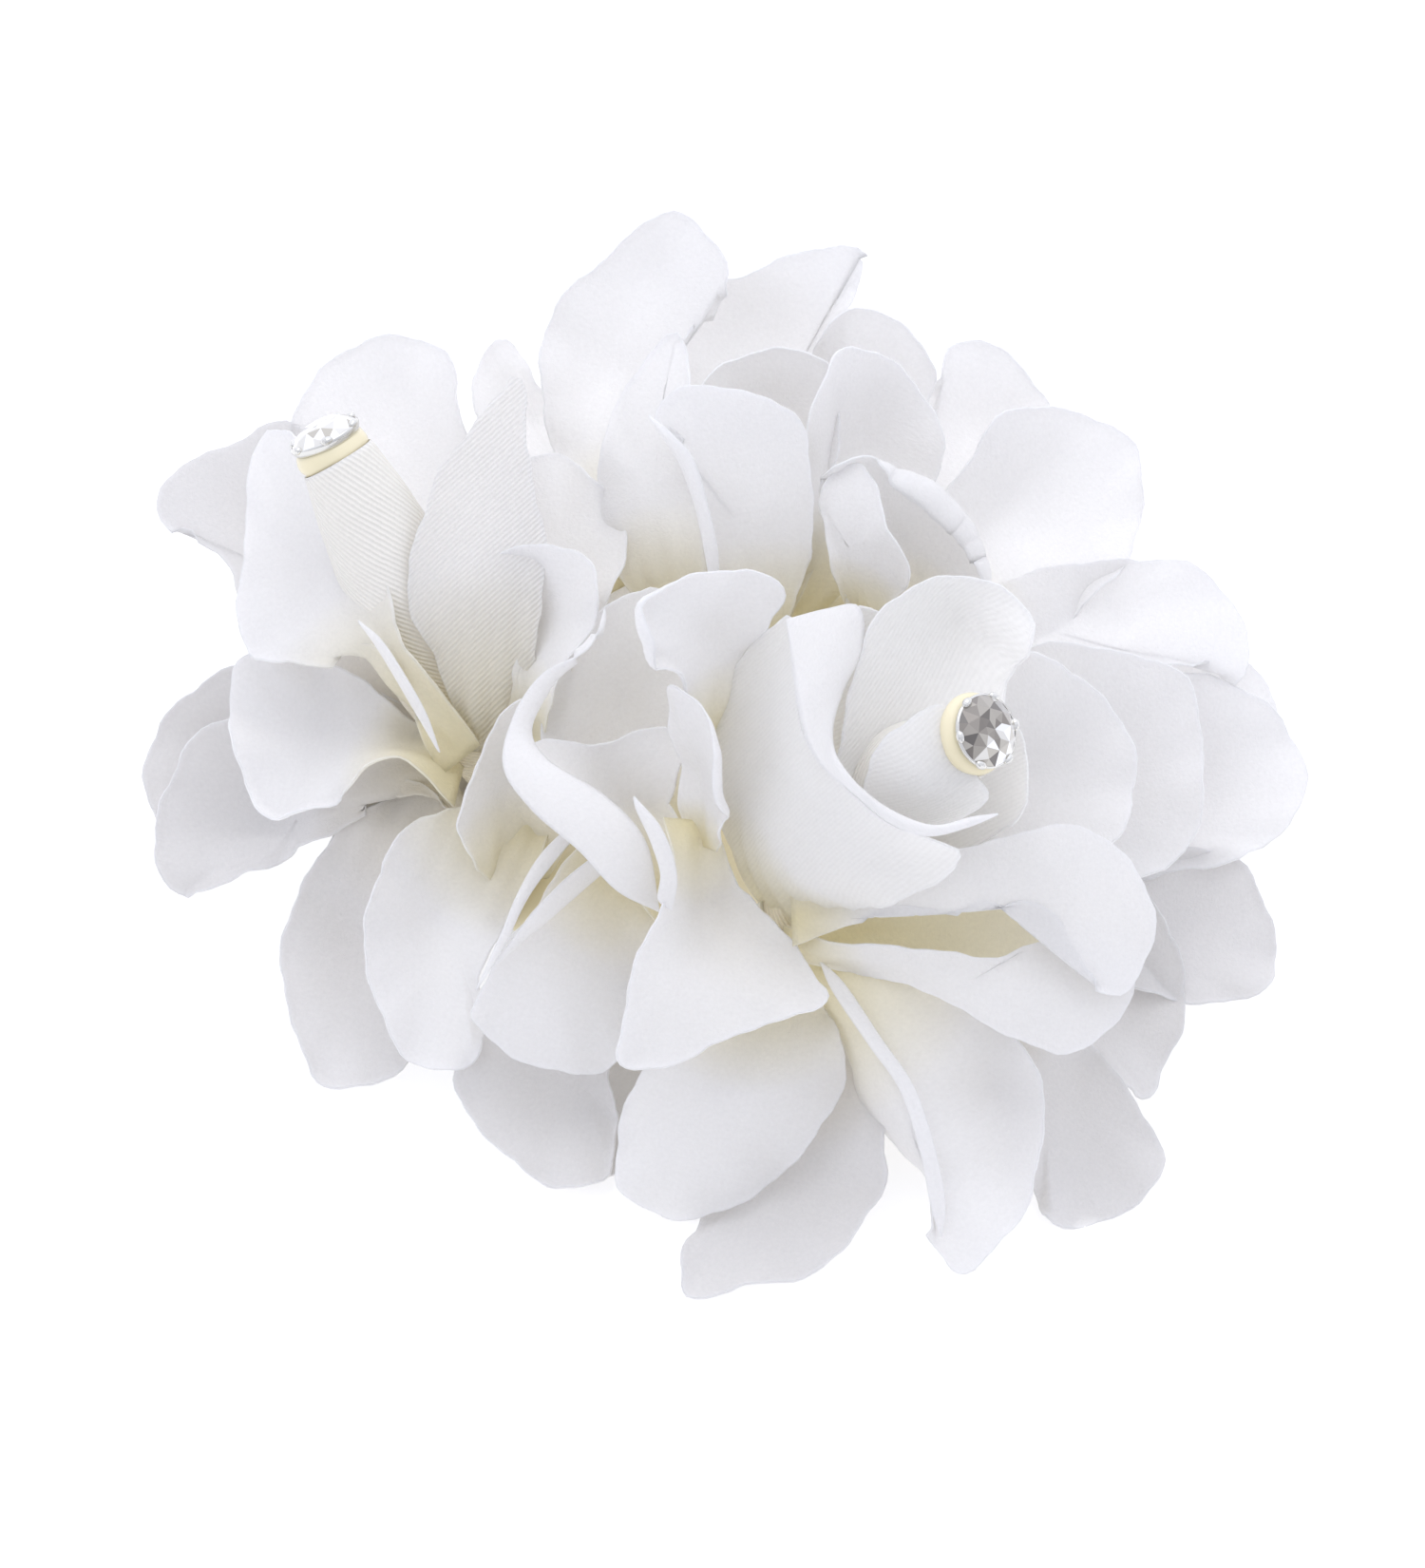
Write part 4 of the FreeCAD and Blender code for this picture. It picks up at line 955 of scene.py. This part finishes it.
def rolled_bud(name):
    """A strip of twill rolled into a tapering tube, one and a bit turns, its free edge down the front."""
    foot, axis, length, radii = BUDS[name]
    foot, axis = np.array(foot), unit(axis)
    mouth = foot + axis * length
    elbow = mouth - unit(STONE_AXES[name]) * length * 0.5
    rows, cols = 60, 110
    points, flats, edges, deeps = [], [], [], []
    sweep = 2 * math.pi * BUD_TURNS
    e1 = square_to(axis)
    for i in range(rows):
        t = i / (rows - 1)
        r0 = float(np.interp(t, np.linspace(0, 1, len(radii)), radii))
        centre = (1 - t) ** 2 * foot + 2 * t * (1 - t) * elbow + t * t * mouth
        way = unit((1 - t) * (elbow - foot) + t * (mouth - elbow))
        e1 = unit(e1 - e1 @ way * way)
        e2 = np.cross(way, e1)
        for j in range(cols):
            s = j / (cols - 1)
            phi = BUD_STARTS[name] + s * sweep + 0.9 * t
            r = r0 * (1 + 0.02 * math.sin(3 * phi + 4 * t)) + 0.55 * (s - 0.5)
            h = length * t + 0.5 * math.sin(phi + 1.0) * t
            points.append(centre + way * (h - length * t) + (e1 * math.cos(phi) + e2 * math.sin(phi)) * r)
            flats.append(((s - 0.5) * sweep * r0, h))
            # a pale line along the strip's cut edges and at its foot: partly the sealed cut, partly painted
            # highlight
            to_edge = (s * sweep * r, (1 - s) * sweep * r, (1 - t) * length)
            edges.append(max(np.clip(1 - far / FOLD_EDGE, 0, 1) for far in to_edge))
            # cream toward the foot of the bud: partly dye, partly painted shade deep in the flower
            deeps.append(float(np.clip(1 - t * 1.6, 0, 1)))
    return np.array(points), strip_faces(rows, cols), np.array(flats), np.array(edges), np.array(deeps)


def stone_facets(radius, seed, dark_share, bright_way, lean):
    """The cut top of a round stone as flat facets, each with a painted reflection, light or dark as its
    foiled back would send up.
    """
    rng = random.Random(seed)

    def ring(count, r, z, offset=0.0):
        return [(r * radius * math.cos(2 * math.pi * (k + offset) / count),
                 r * radius * math.sin(2 * math.pi * (k + offset) / count), z * radius)
                for k in range(count)]
    points = [(0, 0, .37 * radius)] + ring(8, .3, .37, .5) + ring(8, .58, .36) + ring(8, .8, .22, .5) \
        + ring(16, 1.0, .02) + ring(16, 1.0, -.1) + [(0, 0, -.7 * radius)]
    inner, table, star, girdle, low, culet = 1, 9, 17, 25, 41, 57
    facets = []
    for k in range(8):
        n = (k + 1) % 8
        facets += [(0, inner + k, inner + n), (inner + k, table + n, inner + n),
                   (table + k, table + n, inner + k), (table + k, star + k, table + n),
                   (star + k, girdle + 2 * n % 16, table + n),
                   (star + k, table + k, girdle + 2 * k), (star + k, girdle + 2 * k, girdle + 2 * k + 1),
                   (star + k, girdle + 2 * k + 1, girdle + (2 * k + 2) % 16)]
    for k in range(16):
        n = (k + 1) % 16
        facets += [(girdle + k, low + k, low + n), (girdle + k, low + n, girdle + n),
                   (low + n, low + k, culet)]
    reflection_tones = []
    for f in facets:
        x, y = (sum(points[i][k] for i in f) / (3 * radius) for k in (0, 1))
        # painted reflection: facets come out light more often on the side that bright_way points to
        lit = x * math.cos(bright_way) + y * math.sin(bright_way)
        dark = rng.random() < dark_share - lean * lit
        reflection_tones.append(rng.uniform(0.1, 0.5) if dark else rng.choice([0.55, 0.75, 0.9, 1.0]))
    return points, facets, reflection_tones


def turned(profile, centre, axis, e1, wobble, seed):
    """A lathe shape from a profile of radius and height, with a little unevenness, as points and faces."""
    rng, count = random.Random(seed), 64
    phase = [rng.uniform(0, 6.28) for _ in range(4)]
    e2, points = np.cross(axis, e1), []
    line, _ = smooth_line(np.array(profile, float), 28)
    for r, z in line:
        for k in range(count):
            a = 2 * math.pi * k / count
            rr = r * (1 + wobble * (math.sin(2 * a + phase[0]) + .6 * math.sin(3 * a + phase[1])
                                    + .4 * math.sin(5 * a + 2 * z + phase[2])))
            points.append(centre + (e1 * math.cos(a) + e2 * math.sin(a)) * rr + axis * z)
    faces = []
    for i in range(0, (len(line) - 1) * count, count):
        for k in range(count):
            n = (k + 1) % count
            faces.append((i + k, i + n, i + count + n, i + count + k))
    return np.array(points), faces


def oriented(points, centre, axis, e1):
    """Local millimetre points turned so that +z lies along the axis, moved to the centre."""
    e2 = np.cross(axis, e1)
    p = np.asarray(points, float)
    return centre + p[:, :1] * e1 + p[:, 1:2] * e2 + p[:, 2:] * axis


# ---------------------------------------------------------------- wire, claws and felt fuzz
def path_object(name, points):
    """A line of points joined one to the next."""
    mesh = bpy.data.meshes.new(name)
    mesh.from_pydata([tuple(p) for p in points], [(i, i + 1) for i in range(len(points) - 1)], [])
    obj = bpy.data.objects.new(name, mesh)
    bpy.context.scene.collection.objects.link(obj)
    return obj


def new_nodes(name, *sizes):
    """An empty geometry tree with named sizes, and the sockets of its input."""
    tree = bpy.data.node_groups.new(name, "GeometryNodeTree")
    tree.interface.new_socket("Geometry", in_out="INPUT", socket_type="NodeSocketGeometry")
    for label in sizes:
        kind = "NodeSocketInt" if label in ("Claws", "Seed") else "NodeSocketFloat"
        tree.interface.new_socket(label, in_out="INPUT", socket_type=kind)
    tree.interface.new_socket("Geometry", in_out="OUTPUT", socket_type="NodeSocketGeometry")
    return tree, node(tree, "NodeGroupInput").outputs


def grown(obj, built, sizes, material):
    """Runs a geometry tree on an object and keeps the plain mesh that it makes."""
    tree, shape = built
    shape = node(tree, "GeometryNodeRealizeInstances", None, i0=shape).outputs[0]
    shape = node(tree, "GeometryNodeSetMaterial", None, i0=shape, Material=material).outputs[0]
    node(tree, "NodeGroupOutput", None, i0=shape)
    modifier = obj.modifiers.new(tree.name, "NODES")
    modifier.node_group = tree
    for item in tree.interface.items_tree:
        if item.in_out == "INPUT" and item.name in sizes:
            modifier[item.identifier] = sizes[item.name]
    obj.update_tag()
    mesh = bpy.data.meshes.new_from_object(obj.evaluated_get(bpy.context.evaluated_depsgraph_get()))
    obj.modifiers.remove(modifier)
    old, obj.data = obj.data, mesh
    bpy.data.meshes.remove(old)
    return obj


def round_wire(tree, path, resolution, radius, **more):
    """A path given a round section."""
    ring = node(tree, "GeometryNodeCurvePrimitiveCircle", None, Resolution=resolution, Radius=radius)
    section = ring.outputs[0]
    return node(tree, "GeometryNodeCurveToMesh", None, i0=path, Profile_Curve=section, **more).outputs[0]


def claw_nodes():
    """Claws set at even steps round the rim of a setting."""
    tree, given = new_nodes("claws round a rim", "Claws", "Claw width", "Claw reach")
    rim = node(tree, "GeometryNodeMeshToCurve", None, i0=given["Geometry"]).outputs[0]
    round_rim = node(tree, "GeometryNodeSetSplineCyclic", None, i0=rim, Cyclic=True).outputs[0]
    steps = node(tree, "GeometryNodeResampleCurve", None, Curve=round_rim, Count=given["Claws"]).outputs[0]
    bead = node(tree, "GeometryNodeMeshUVSphere", None, Segments=12, Rings=8, Radius=1.0).outputs[0]
    size = node(tree, "ShaderNodeCombineXYZ", None, i0=given["Claw reach"], i1=given["Claw reach"],
                i2=given["Claw width"]).outputs[0]
    turn = node(tree, "FunctionNodeAlignRotationToVector", {"axis": "Z"},
                Vector=node(tree, "GeometryNodeInputTangent").outputs[0]).outputs[0]
    claws = node(tree, "GeometryNodeInstanceOnPoints", None, Points=steps, Instance=bead, Rotation=turn,
                 Scale=size).outputs[0]
    return tree, claws


def wire_nodes():
    """Round wire along a path."""
    tree, given = new_nodes("wire along a path", "Wire radius")
    path = node(tree, "GeometryNodeMeshToCurve", None, i0=given["Geometry"]).outputs[0]
    return tree, round_wire(tree, path, 12, given["Wire radius"], Fill_Caps=True)


def fuzz_nodes():
    """Short loose fibres standing up from a felt face, kept with the face itself."""
    tree, given = new_nodes("fibres on felt", "Fibre length", "Fibre radius", "Fibres", "Seed")
    spots = node(tree, "GeometryNodeDistributePointsOnFaces", None, Mesh=given["Geometry"],
                 Density=given["Fibres"], Seed=given["Seed"])
    half = math_node(tree, "MULTIPLY", given["Fibre length"], 0.5)
    middle = node(tree, "ShaderNodeCombineXYZ", None, i0=0.0, i1=0.0, i2=half).outputs[0]
    end = node(tree, "ShaderNodeCombineXYZ", None, i0=half, i1=0.0, i2=half).outputs[0]
    arc = node(tree, "GeometryNodeCurveQuadraticBezier", None, Resolution=3, Start=(0.0, 0.0, 0.0),
               Middle=middle, End=end).outputs[0]
    fibre = round_wire(tree, arc, 3, given["Fibre radius"])
    tilt = node(tree, "FunctionNodeRandomValue", {"data_type": "FLOAT_VECTOR"}, i0=(-1.2, -1.2, -3.14),
                i1=(1.2, 1.2, 3.14), Seed=given["Seed"]).outputs[0]
    turn = node(tree, "FunctionNodeRotateRotation", {"rotation_space": "LOCAL"}, i0=spots.outputs["Rotation"],
                i1=tilt).outputs[0]
    fuzz = node(tree, "GeometryNodeInstanceOnPoints", None, Points=spots.outputs["Points"], Instance=fibre,
                Rotation=turn).outputs[0]
    both = node(tree, "GeometryNodeJoinGeometry", None, i0=fuzz)
    tree.links.new(given["Geometry"], both.inputs[0])
    return tree, both.outputs[0]


def merge(keep, other):
    """Adds one mesh to another, and the other object is gone."""
    with bpy.context.temp_override(active_object=keep, selected_editable_objects=[keep, other]):
        bpy.ops.object.join()
    return keep


SPRING_WIRE = 0.0003     # m, radius of the spring's wire
SPRING_COIL = 0.0015     # m, radius of its coil, and half the coil's width


def spring_path():
    """The torsion spring: a leg under the fixed arm, four turns round the pin, a leg over the jaw's tab."""
    lo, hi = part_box("hinge_pin")
    x, z, coil, side = (lo.x + hi.x) / 2, (lo.z + hi.z) / 2, SPRING_COIL, SPRING_COIL
    turns = [(x + coil * math.cos(a), -side + 2 * side * a / (8 * math.pi), z + coil * math.sin(a))
             for a in np.linspace(0, 8 * math.pi, 129)]
    return [(x + 0.0065, -side, -0.00045)] + turns + [(x + 0.0065, side, z - 0.0026)]


# ---------------------------------------------------------------- properties
class SprayProperties(bpy.types.PropertyGroup):
    """How the satin is cut and shaped."""
    petal_thickness: FloatProperty(name="Petal thickness", description="Thickness of one layer of satin",
                                   default=0.0002, unit="LENGTH", subtype="DISTANCE")
    ruffle: FloatProperty(name="Ruffle", description="Share of the heat-shaped ruffle along the rims",
                          default=1.0)
    rib_pitch: FloatProperty(name="Rib pitch", description="Distance between twill ribs in mm", default=0.62)


class StoneProperties(bpy.types.PropertyGroup):
    """The cut stones."""
    diameter: FloatProperty(name="Stone diameter", description="Girdle diameter of a stone", default=0.0069,
                            unit="LENGTH", subtype="DISTANCE")
    seed: IntProperty(name="Facet seed", description="Which facets are bright", default=11)


class StageProperties(bpy.types.PropertyGroup):
    """The floor, light and camera."""
    low_fill: FloatProperty(name="Fill below", description="Strength of the white surround below",
                            default=0.68)
    high_fill: FloatProperty(name="Fill above", description="Strength of the white surround above",
                             default=1.42)
    key_strength: FloatProperty(name="Key", description="Power of the large light above, in watts",
                                default=0.26)
    field_width: FloatProperty(name="Field width", description="Width seen at the flowers", default=0.135,
                               unit="LENGTH", subtype="DISTANCE")
    distance: FloatProperty(name="Camera distance", description="From the flowers to the camera", default=1.6,
                            unit="LENGTH", subtype="DISTANCE")


FLOWERS = ("left", "right", "top")
MATERIALS = {}


def look(name):
    """The object's materials, each made once."""
    if name not in MATERIALS:
        pitch = bpy.context.scene.spray_props.rib_pitch
        MATERIALS[name] = {
            "petal": lambda: satin("white polyester satin, heat shaped", "#FCFBFA", "#F8F1D2", 0, 0, 0.5),
            # a darker copy of the satin for the outer petals lying under the others: their shade is painted
            "painted shade petal": lambda: satin("white polyester satin, shade painted darker", "#F1EFED", "#EDE6D4",
                                        0, 0, 0.3),
            "rolled twill": lambda: satin("white twill ribbon, rolled close", "#FBF7EE", "#F7ECCF",
                                          pitch, 0.18, 0.08),
            "twill": lambda: satin("white twill ribbon, rolled", "#FDFBF8", "#F9F3DF", pitch, 0.14, 0.46),
            "soft twill": lambda: satin("white twill satin, shaped", "#FDFCFA", "#F8F2D8", pitch, 0.05, 0.5),
            "stone glints": lambda: painted_glint_glass("cut crystal, facet reflections painted"),
            "silver": lambda: bumpy("silver plated claw setting", "#C9C8C4", 0.2, 1.0, 1.0, 0.02, "#F2F0EA"),
            "glue": lambda: bumpy("cream hot glue, set", "#E6DAB2", 0.3, 0.0, 0.6, 0.05, "#F0E7C9", 0.4),
            "felt": lambda: bumpy("white needle felt", "#F2F2EF", 0.95, 0.0, 1.6, 0.35, "#E6E6E1"),
            "steel": lambda: bumpy("nickel plated spring steel", "#B9BABC", 0.22, 1.0, 0.5, 0.01, "#DADBDD"),
            "wire": lambda: bumpy("bright spring wire", "#A9AAAD", 0.25, 1.0, 0.7, 0.01, "#CDCED0"),
            "plastic": lambda: bumpy("moulded white plastic pip", "#EFEDE2", 0.4, 0.0, 0.5, 0.02, "#E4E1D2",
                                     0.1),
            "floor": lambda: floor_paint("white studio floor"),
        }[name]()
    return MATERIALS[name]


# ---------------------------------------------------------------- operators
class PetalsOperator(bpy.types.Operator):
    """Build every loose petal of the three flowers."""
    bl_idname = "hairclip.petals"
    bl_label = "Petals"

    def execute(self, context):
        props = context.scene.spray_props
        nodes = {"outer": "outer_petals", "middle": "middle_petals", "inner": "inner_petals"}
        for layer in PETALS:
            flower, kind = layer.split("_", 1)
            if kind in nodes:
                # the outer petals of the left and right flowers take the darker satin copy, their shade
                # painted
                cloth = "painted shade petal" if kind == "outer" and flower != "top" else "petal"
                make_petals(layer, f"{flower}_{nodes[kind]}", look(cloth), "satin_petal",
                            props.petal_thickness, props.ruffle)
            elif kind == "wrap" and flower != "right":
                make_petals(layer, f"{flower}_wrap_petals", look("petal"),
                            "satin_petal", props.petal_thickness, props.ruffle)
            else:
                cloth = {"left": "twill", "right": "soft twill", "top": "petal"}[flower]
                make_petals(layer, f"{flower}_bud_wrap", look(cloth), "satin_rib",
                            props.petal_thickness, props.ruffle)
        return {"FINISHED"}


class BudsOperator(bpy.types.Operator):
    """Roll the twill buds in the middle of the flowers."""
    bl_idname = "hairclip.buds"
    bl_label = "Buds"

    def execute(self, context):
        for flower in FLOWERS:
            p, f, u, e, d = rolled_bud(flower)
            obj = mesh_object(f"{flower}_rolled_bud", place(p), f, u, {"edge": e, "deep": d})
            thicken(paint(obj, look("rolled twill")), context.scene.spray_props.petal_thickness)
            belongs(obj, "spray", "satin_rib", f"{flower}_bud")
        return {"FINISHED"}


def cut_stone(flower, seat, axis, e1, radius, seed):
    """A round cut stone, its facets flat and each with its own painted reflection."""
    dark_share, bright_from, lean = PAINTED_STONE_SPARKLE[flower]
    points, facets, reflection_tones = stone_facets(radius, seed, dark_share, math.radians(bright_from), lean)
    split = [points[i] for f in facets for i in f]
    stone = mesh_object(f"{flower}_cut_stone", place(oriented(split, seat, axis, e1)),
                        [(3 * k, 3 * k + 1, 3 * k + 2) for k in range(len(facets))],
                        floats={"tone": [t for t in reflection_tones for _ in range(3)]}, smooth=False)
    belongs(paint(stone, look("stone glints")), "spray", "clear_stone", f"{flower}_stone")


def claw_setting(flower, seat, axis, e1, seed):
    """The cup under a stone, with its claws round the rim."""
    p, f = turned(CUP_PROFILE, seat, axis, e1, 0.004, seed)
    cup = mesh_object(f"{flower}_setting", place(p), f)
    around = np.linspace(0, 2 * math.pi, 48, endpoint=False)
    rim = [(CLAW_RING * math.cos(a), CLAW_RING * math.sin(a), 0.2) for a in around]
    rim = path_object(f"{flower}_claw_rim", place(oriented(rim, seat, axis, e1)))
    grown(rim, claw_nodes(), {"Claws": 6, "Claw width": 0.00062, "Claw reach": 0.00042}, look("silver"))
    paint(cup, look("silver"))
    merge(cup, rim)
    belongs(cup, "spray", "silver_setting", f"{flower}_stone_cup")


def glue_bead(flower, seat, axis, e1, seed):
    """The bead of set glue squeezed out between the bud and its stone."""
    wide = GLUE_WIDTH[flower]
    p, f = turned([(0.1, -3.4), (2.6, -3.4), (3.5 * wide, -2.6), (3.8 * wide, -1.9), (3.7 * wide, -1.2),
                   (3.2, -.75), (2.2, -.9)], seat, axis, e1, 0.02, seed)
    glue = mesh_object(f"{flower}_glue_bead", place(p), f)
    belongs(paint(glue, look("glue")), "spray", "hot_glue", f"{flower}_stone_glue")


class StonesOperator(bpy.types.Operator):
    """Set a cut stone on the mouth of each bud."""
    bl_idname = "hairclip.stones"
    bl_label = "Stones"

    def execute(self, context):
        props = context.scene.stone_props
        for number, flower in enumerate(FLOWERS):
            axis = unit(STONE_AXES[flower])
            e1 = square_to(axis)
            lo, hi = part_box(f"{flower}_stone")
            mid = np.array((lo + hi) / 2) * 1000
            seat = np.array([mid[0], mid[1] * SIN + mid[2] * COS, -mid[1] * COS + mid[2] * SIN])
            cut_stone(flower, seat, axis, e1, props.diameter * 500, props.seed + number)
            claw_setting(flower, seat, axis, e1, number)
            glue_bead(flower, seat, axis, e1, number + 5)
        return {"FINISHED"}


# the finish of each piece that is used as the solid model gives it, by a part of its name
SOLID_FINISHES = {"glue": "glue", "clip": "steel", "pin": "steel", "stem": "plastic"}


class FindingsOperator(bpy.types.Operator):
    """Wind the spring, raise the felt's fibres, and finish the glue, pips and clip of the solid model."""
    bl_idname = "hairclip.findings"
    bl_label = "Findings"

    def execute(self, context):
        spring = path_object("torsion_spring_wire", spring_path())
        grown(spring, wire_nodes(), {"Wire radius": SPRING_WIRE}, look("wire"))
        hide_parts("torsion_spring")
        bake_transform(spring)
        for name in ("felt_base", "felt_patch"):
            source = NODES[name]
            felt = bpy.data.objects.new(f"{name}_fuzzed", source.data.copy())
            felt.data.transform(source.matrix_world)
            bpy.context.scene.collection.objects.link(felt)
            paint(felt, look("felt"))
            fibres = {"Fibre length": 0.0009, "Fibre radius": 0.000018, "Fibres": 9e5, "Seed": 4}
            grown(felt, fuzz_nodes(), fibres, look("felt"))
            belongs(felt, "spray", "white_felt", name)
        for name, obj in NODES.items():
            if obj.hide_render:
                continue
            for part, stuff in SOLID_FINISHES.items():
                if part in name:
                    paint(obj, look(stuff))
                    if stuff in ("glue", "plastic"):
                        obj.data.shade_smooth()
                    break
        return {"FINISHED"}


class StageOperator(bpy.types.Operator):
    """Lay the floor and set the lights and the camera."""
    bl_idname = "hairclip.stage"
    bl_label = "Stage"

    def execute(self, context):
        props, scene = context.scene.stage_props, context.scene
        low = min(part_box(n)[0].z for n in NODES) - 0.0001
        span = 1.5
        corners = [(-span, -span, low), (span, -span, low), (span, span, low), (-span, span, low)]
        floor = mesh_object("floor", corners, [(0, 1, 2, 3)])
        paint(floor, look("floor"))
        world = bpy.data.worlds.new("white surround")
        world.use_nodes = True
        tree = world.node_tree
        tree.nodes.clear()
        # brighter behind and above the spray than in front and below it, as under a large overhead softbox
        sky = node(tree, "ShaderNodeTexCoord").outputs["Generated"]
        way = node(tree, "ShaderNodeVectorMath", {"operation": "DOT_PRODUCT"}, i0=sky, i1=(0.0, SIN, COS))
        level = node(tree, "ShaderNodeMapRange", None, i0=way.outputs["Value"], i1=-1.0, i2=1.0,
                     i3=props.low_fill, i4=props.high_fill).outputs[0]
        back = node(tree, "ShaderNodeBackground", None, Color=colour("#F1F4FF"), Strength=level)
        node(tree, "ShaderNodeOutputWorld", None, Surface=back.outputs[0])
        scene.world = world
        target = Vector((0.0043, 0.0040, 0.0033))      # the middle of the flowers
        above = Vector((-0.03, 0.10, 0.36))
        light = bpy.data.lights.new("key", "AREA")
        light.size, light.energy, light.color = 0.3, props.key_strength, colour("#FFFFFF")[:3]
        lamp = bpy.data.objects.new("key", light)
        lamp.location = target + above
        lamp.rotation_euler = (-above).to_track_quat("-Z", "Y").to_euler()
        scene.collection.objects.link(lamp)
        lens = bpy.data.cameras.new("camera")
        lens.sensor_fit, lens.sensor_width = "HORIZONTAL", 36.0
        lens.lens = 36.0 * props.distance / props.field_width
        lens.clip_start, lens.clip_end = 0.05, 20.0
        camera = bpy.data.objects.new("camera", lens)
        camera.location = target + Vector((0, -COS, SIN)) * props.distance
        camera.rotation_euler = (Vector((0, COS, -SIN))).to_track_quat("-Z", "Y").to_euler()
        scene.collection.objects.link(camera)
        scene.camera = camera
        scene.view_settings.view_transform = "Standard"
        scene.view_settings.look = "None"
        return {"FINISHED"}


class HAIRCLIP_PT_sidebar(bpy.types.Panel):
    """The hair clip's settings and steps."""
    bl_label = "Flower hair clip"
    bl_space_type = "VIEW_3D"
    bl_region_type = "UI"
    bl_category = "Hair clip"

    def draw(self, context):
        for props in (context.scene.spray_props, context.scene.stone_props, context.scene.stage_props):
            for key in props.bl_rna.properties.keys():
                if key not in ("rna_type", "name"):
                    self.layout.prop(props, key)
        for operator in STEPS:
            self.layout.operator(operator.bl_idname)


STEPS = (PetalsOperator, BudsOperator, StonesOperator, FindingsOperator, StageOperator)
CLASSES = (SprayProperties, StoneProperties, StageProperties, *STEPS, HAIRCLIP_PT_sidebar)


def register():
    """Adds the classes and the scene's settings."""
    for cls in CLASSES:
        bpy.utils.register_class(cls)
    bpy.types.Scene.spray_props = PointerProperty(type=SprayProperties)
    bpy.types.Scene.stone_props = PointerProperty(type=StoneProperties)
    bpy.types.Scene.stage_props = PointerProperty(type=StageProperties)


def unregister():
    """Takes them away again."""
    for key in ("spray_props", "stone_props", "stage_props"):
        delattr(bpy.types.Scene, key)
    for cls in reversed(CLASSES):
        bpy.utils.unregister_class(cls)


def main():
    """Builds the whole object in order."""
    register()
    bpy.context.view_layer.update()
    for operator in STEPS:
        getattr(bpy.ops.hairclip, operator.bl_idname.split(".")[1])()


if __name__ == "__main__":
    main()
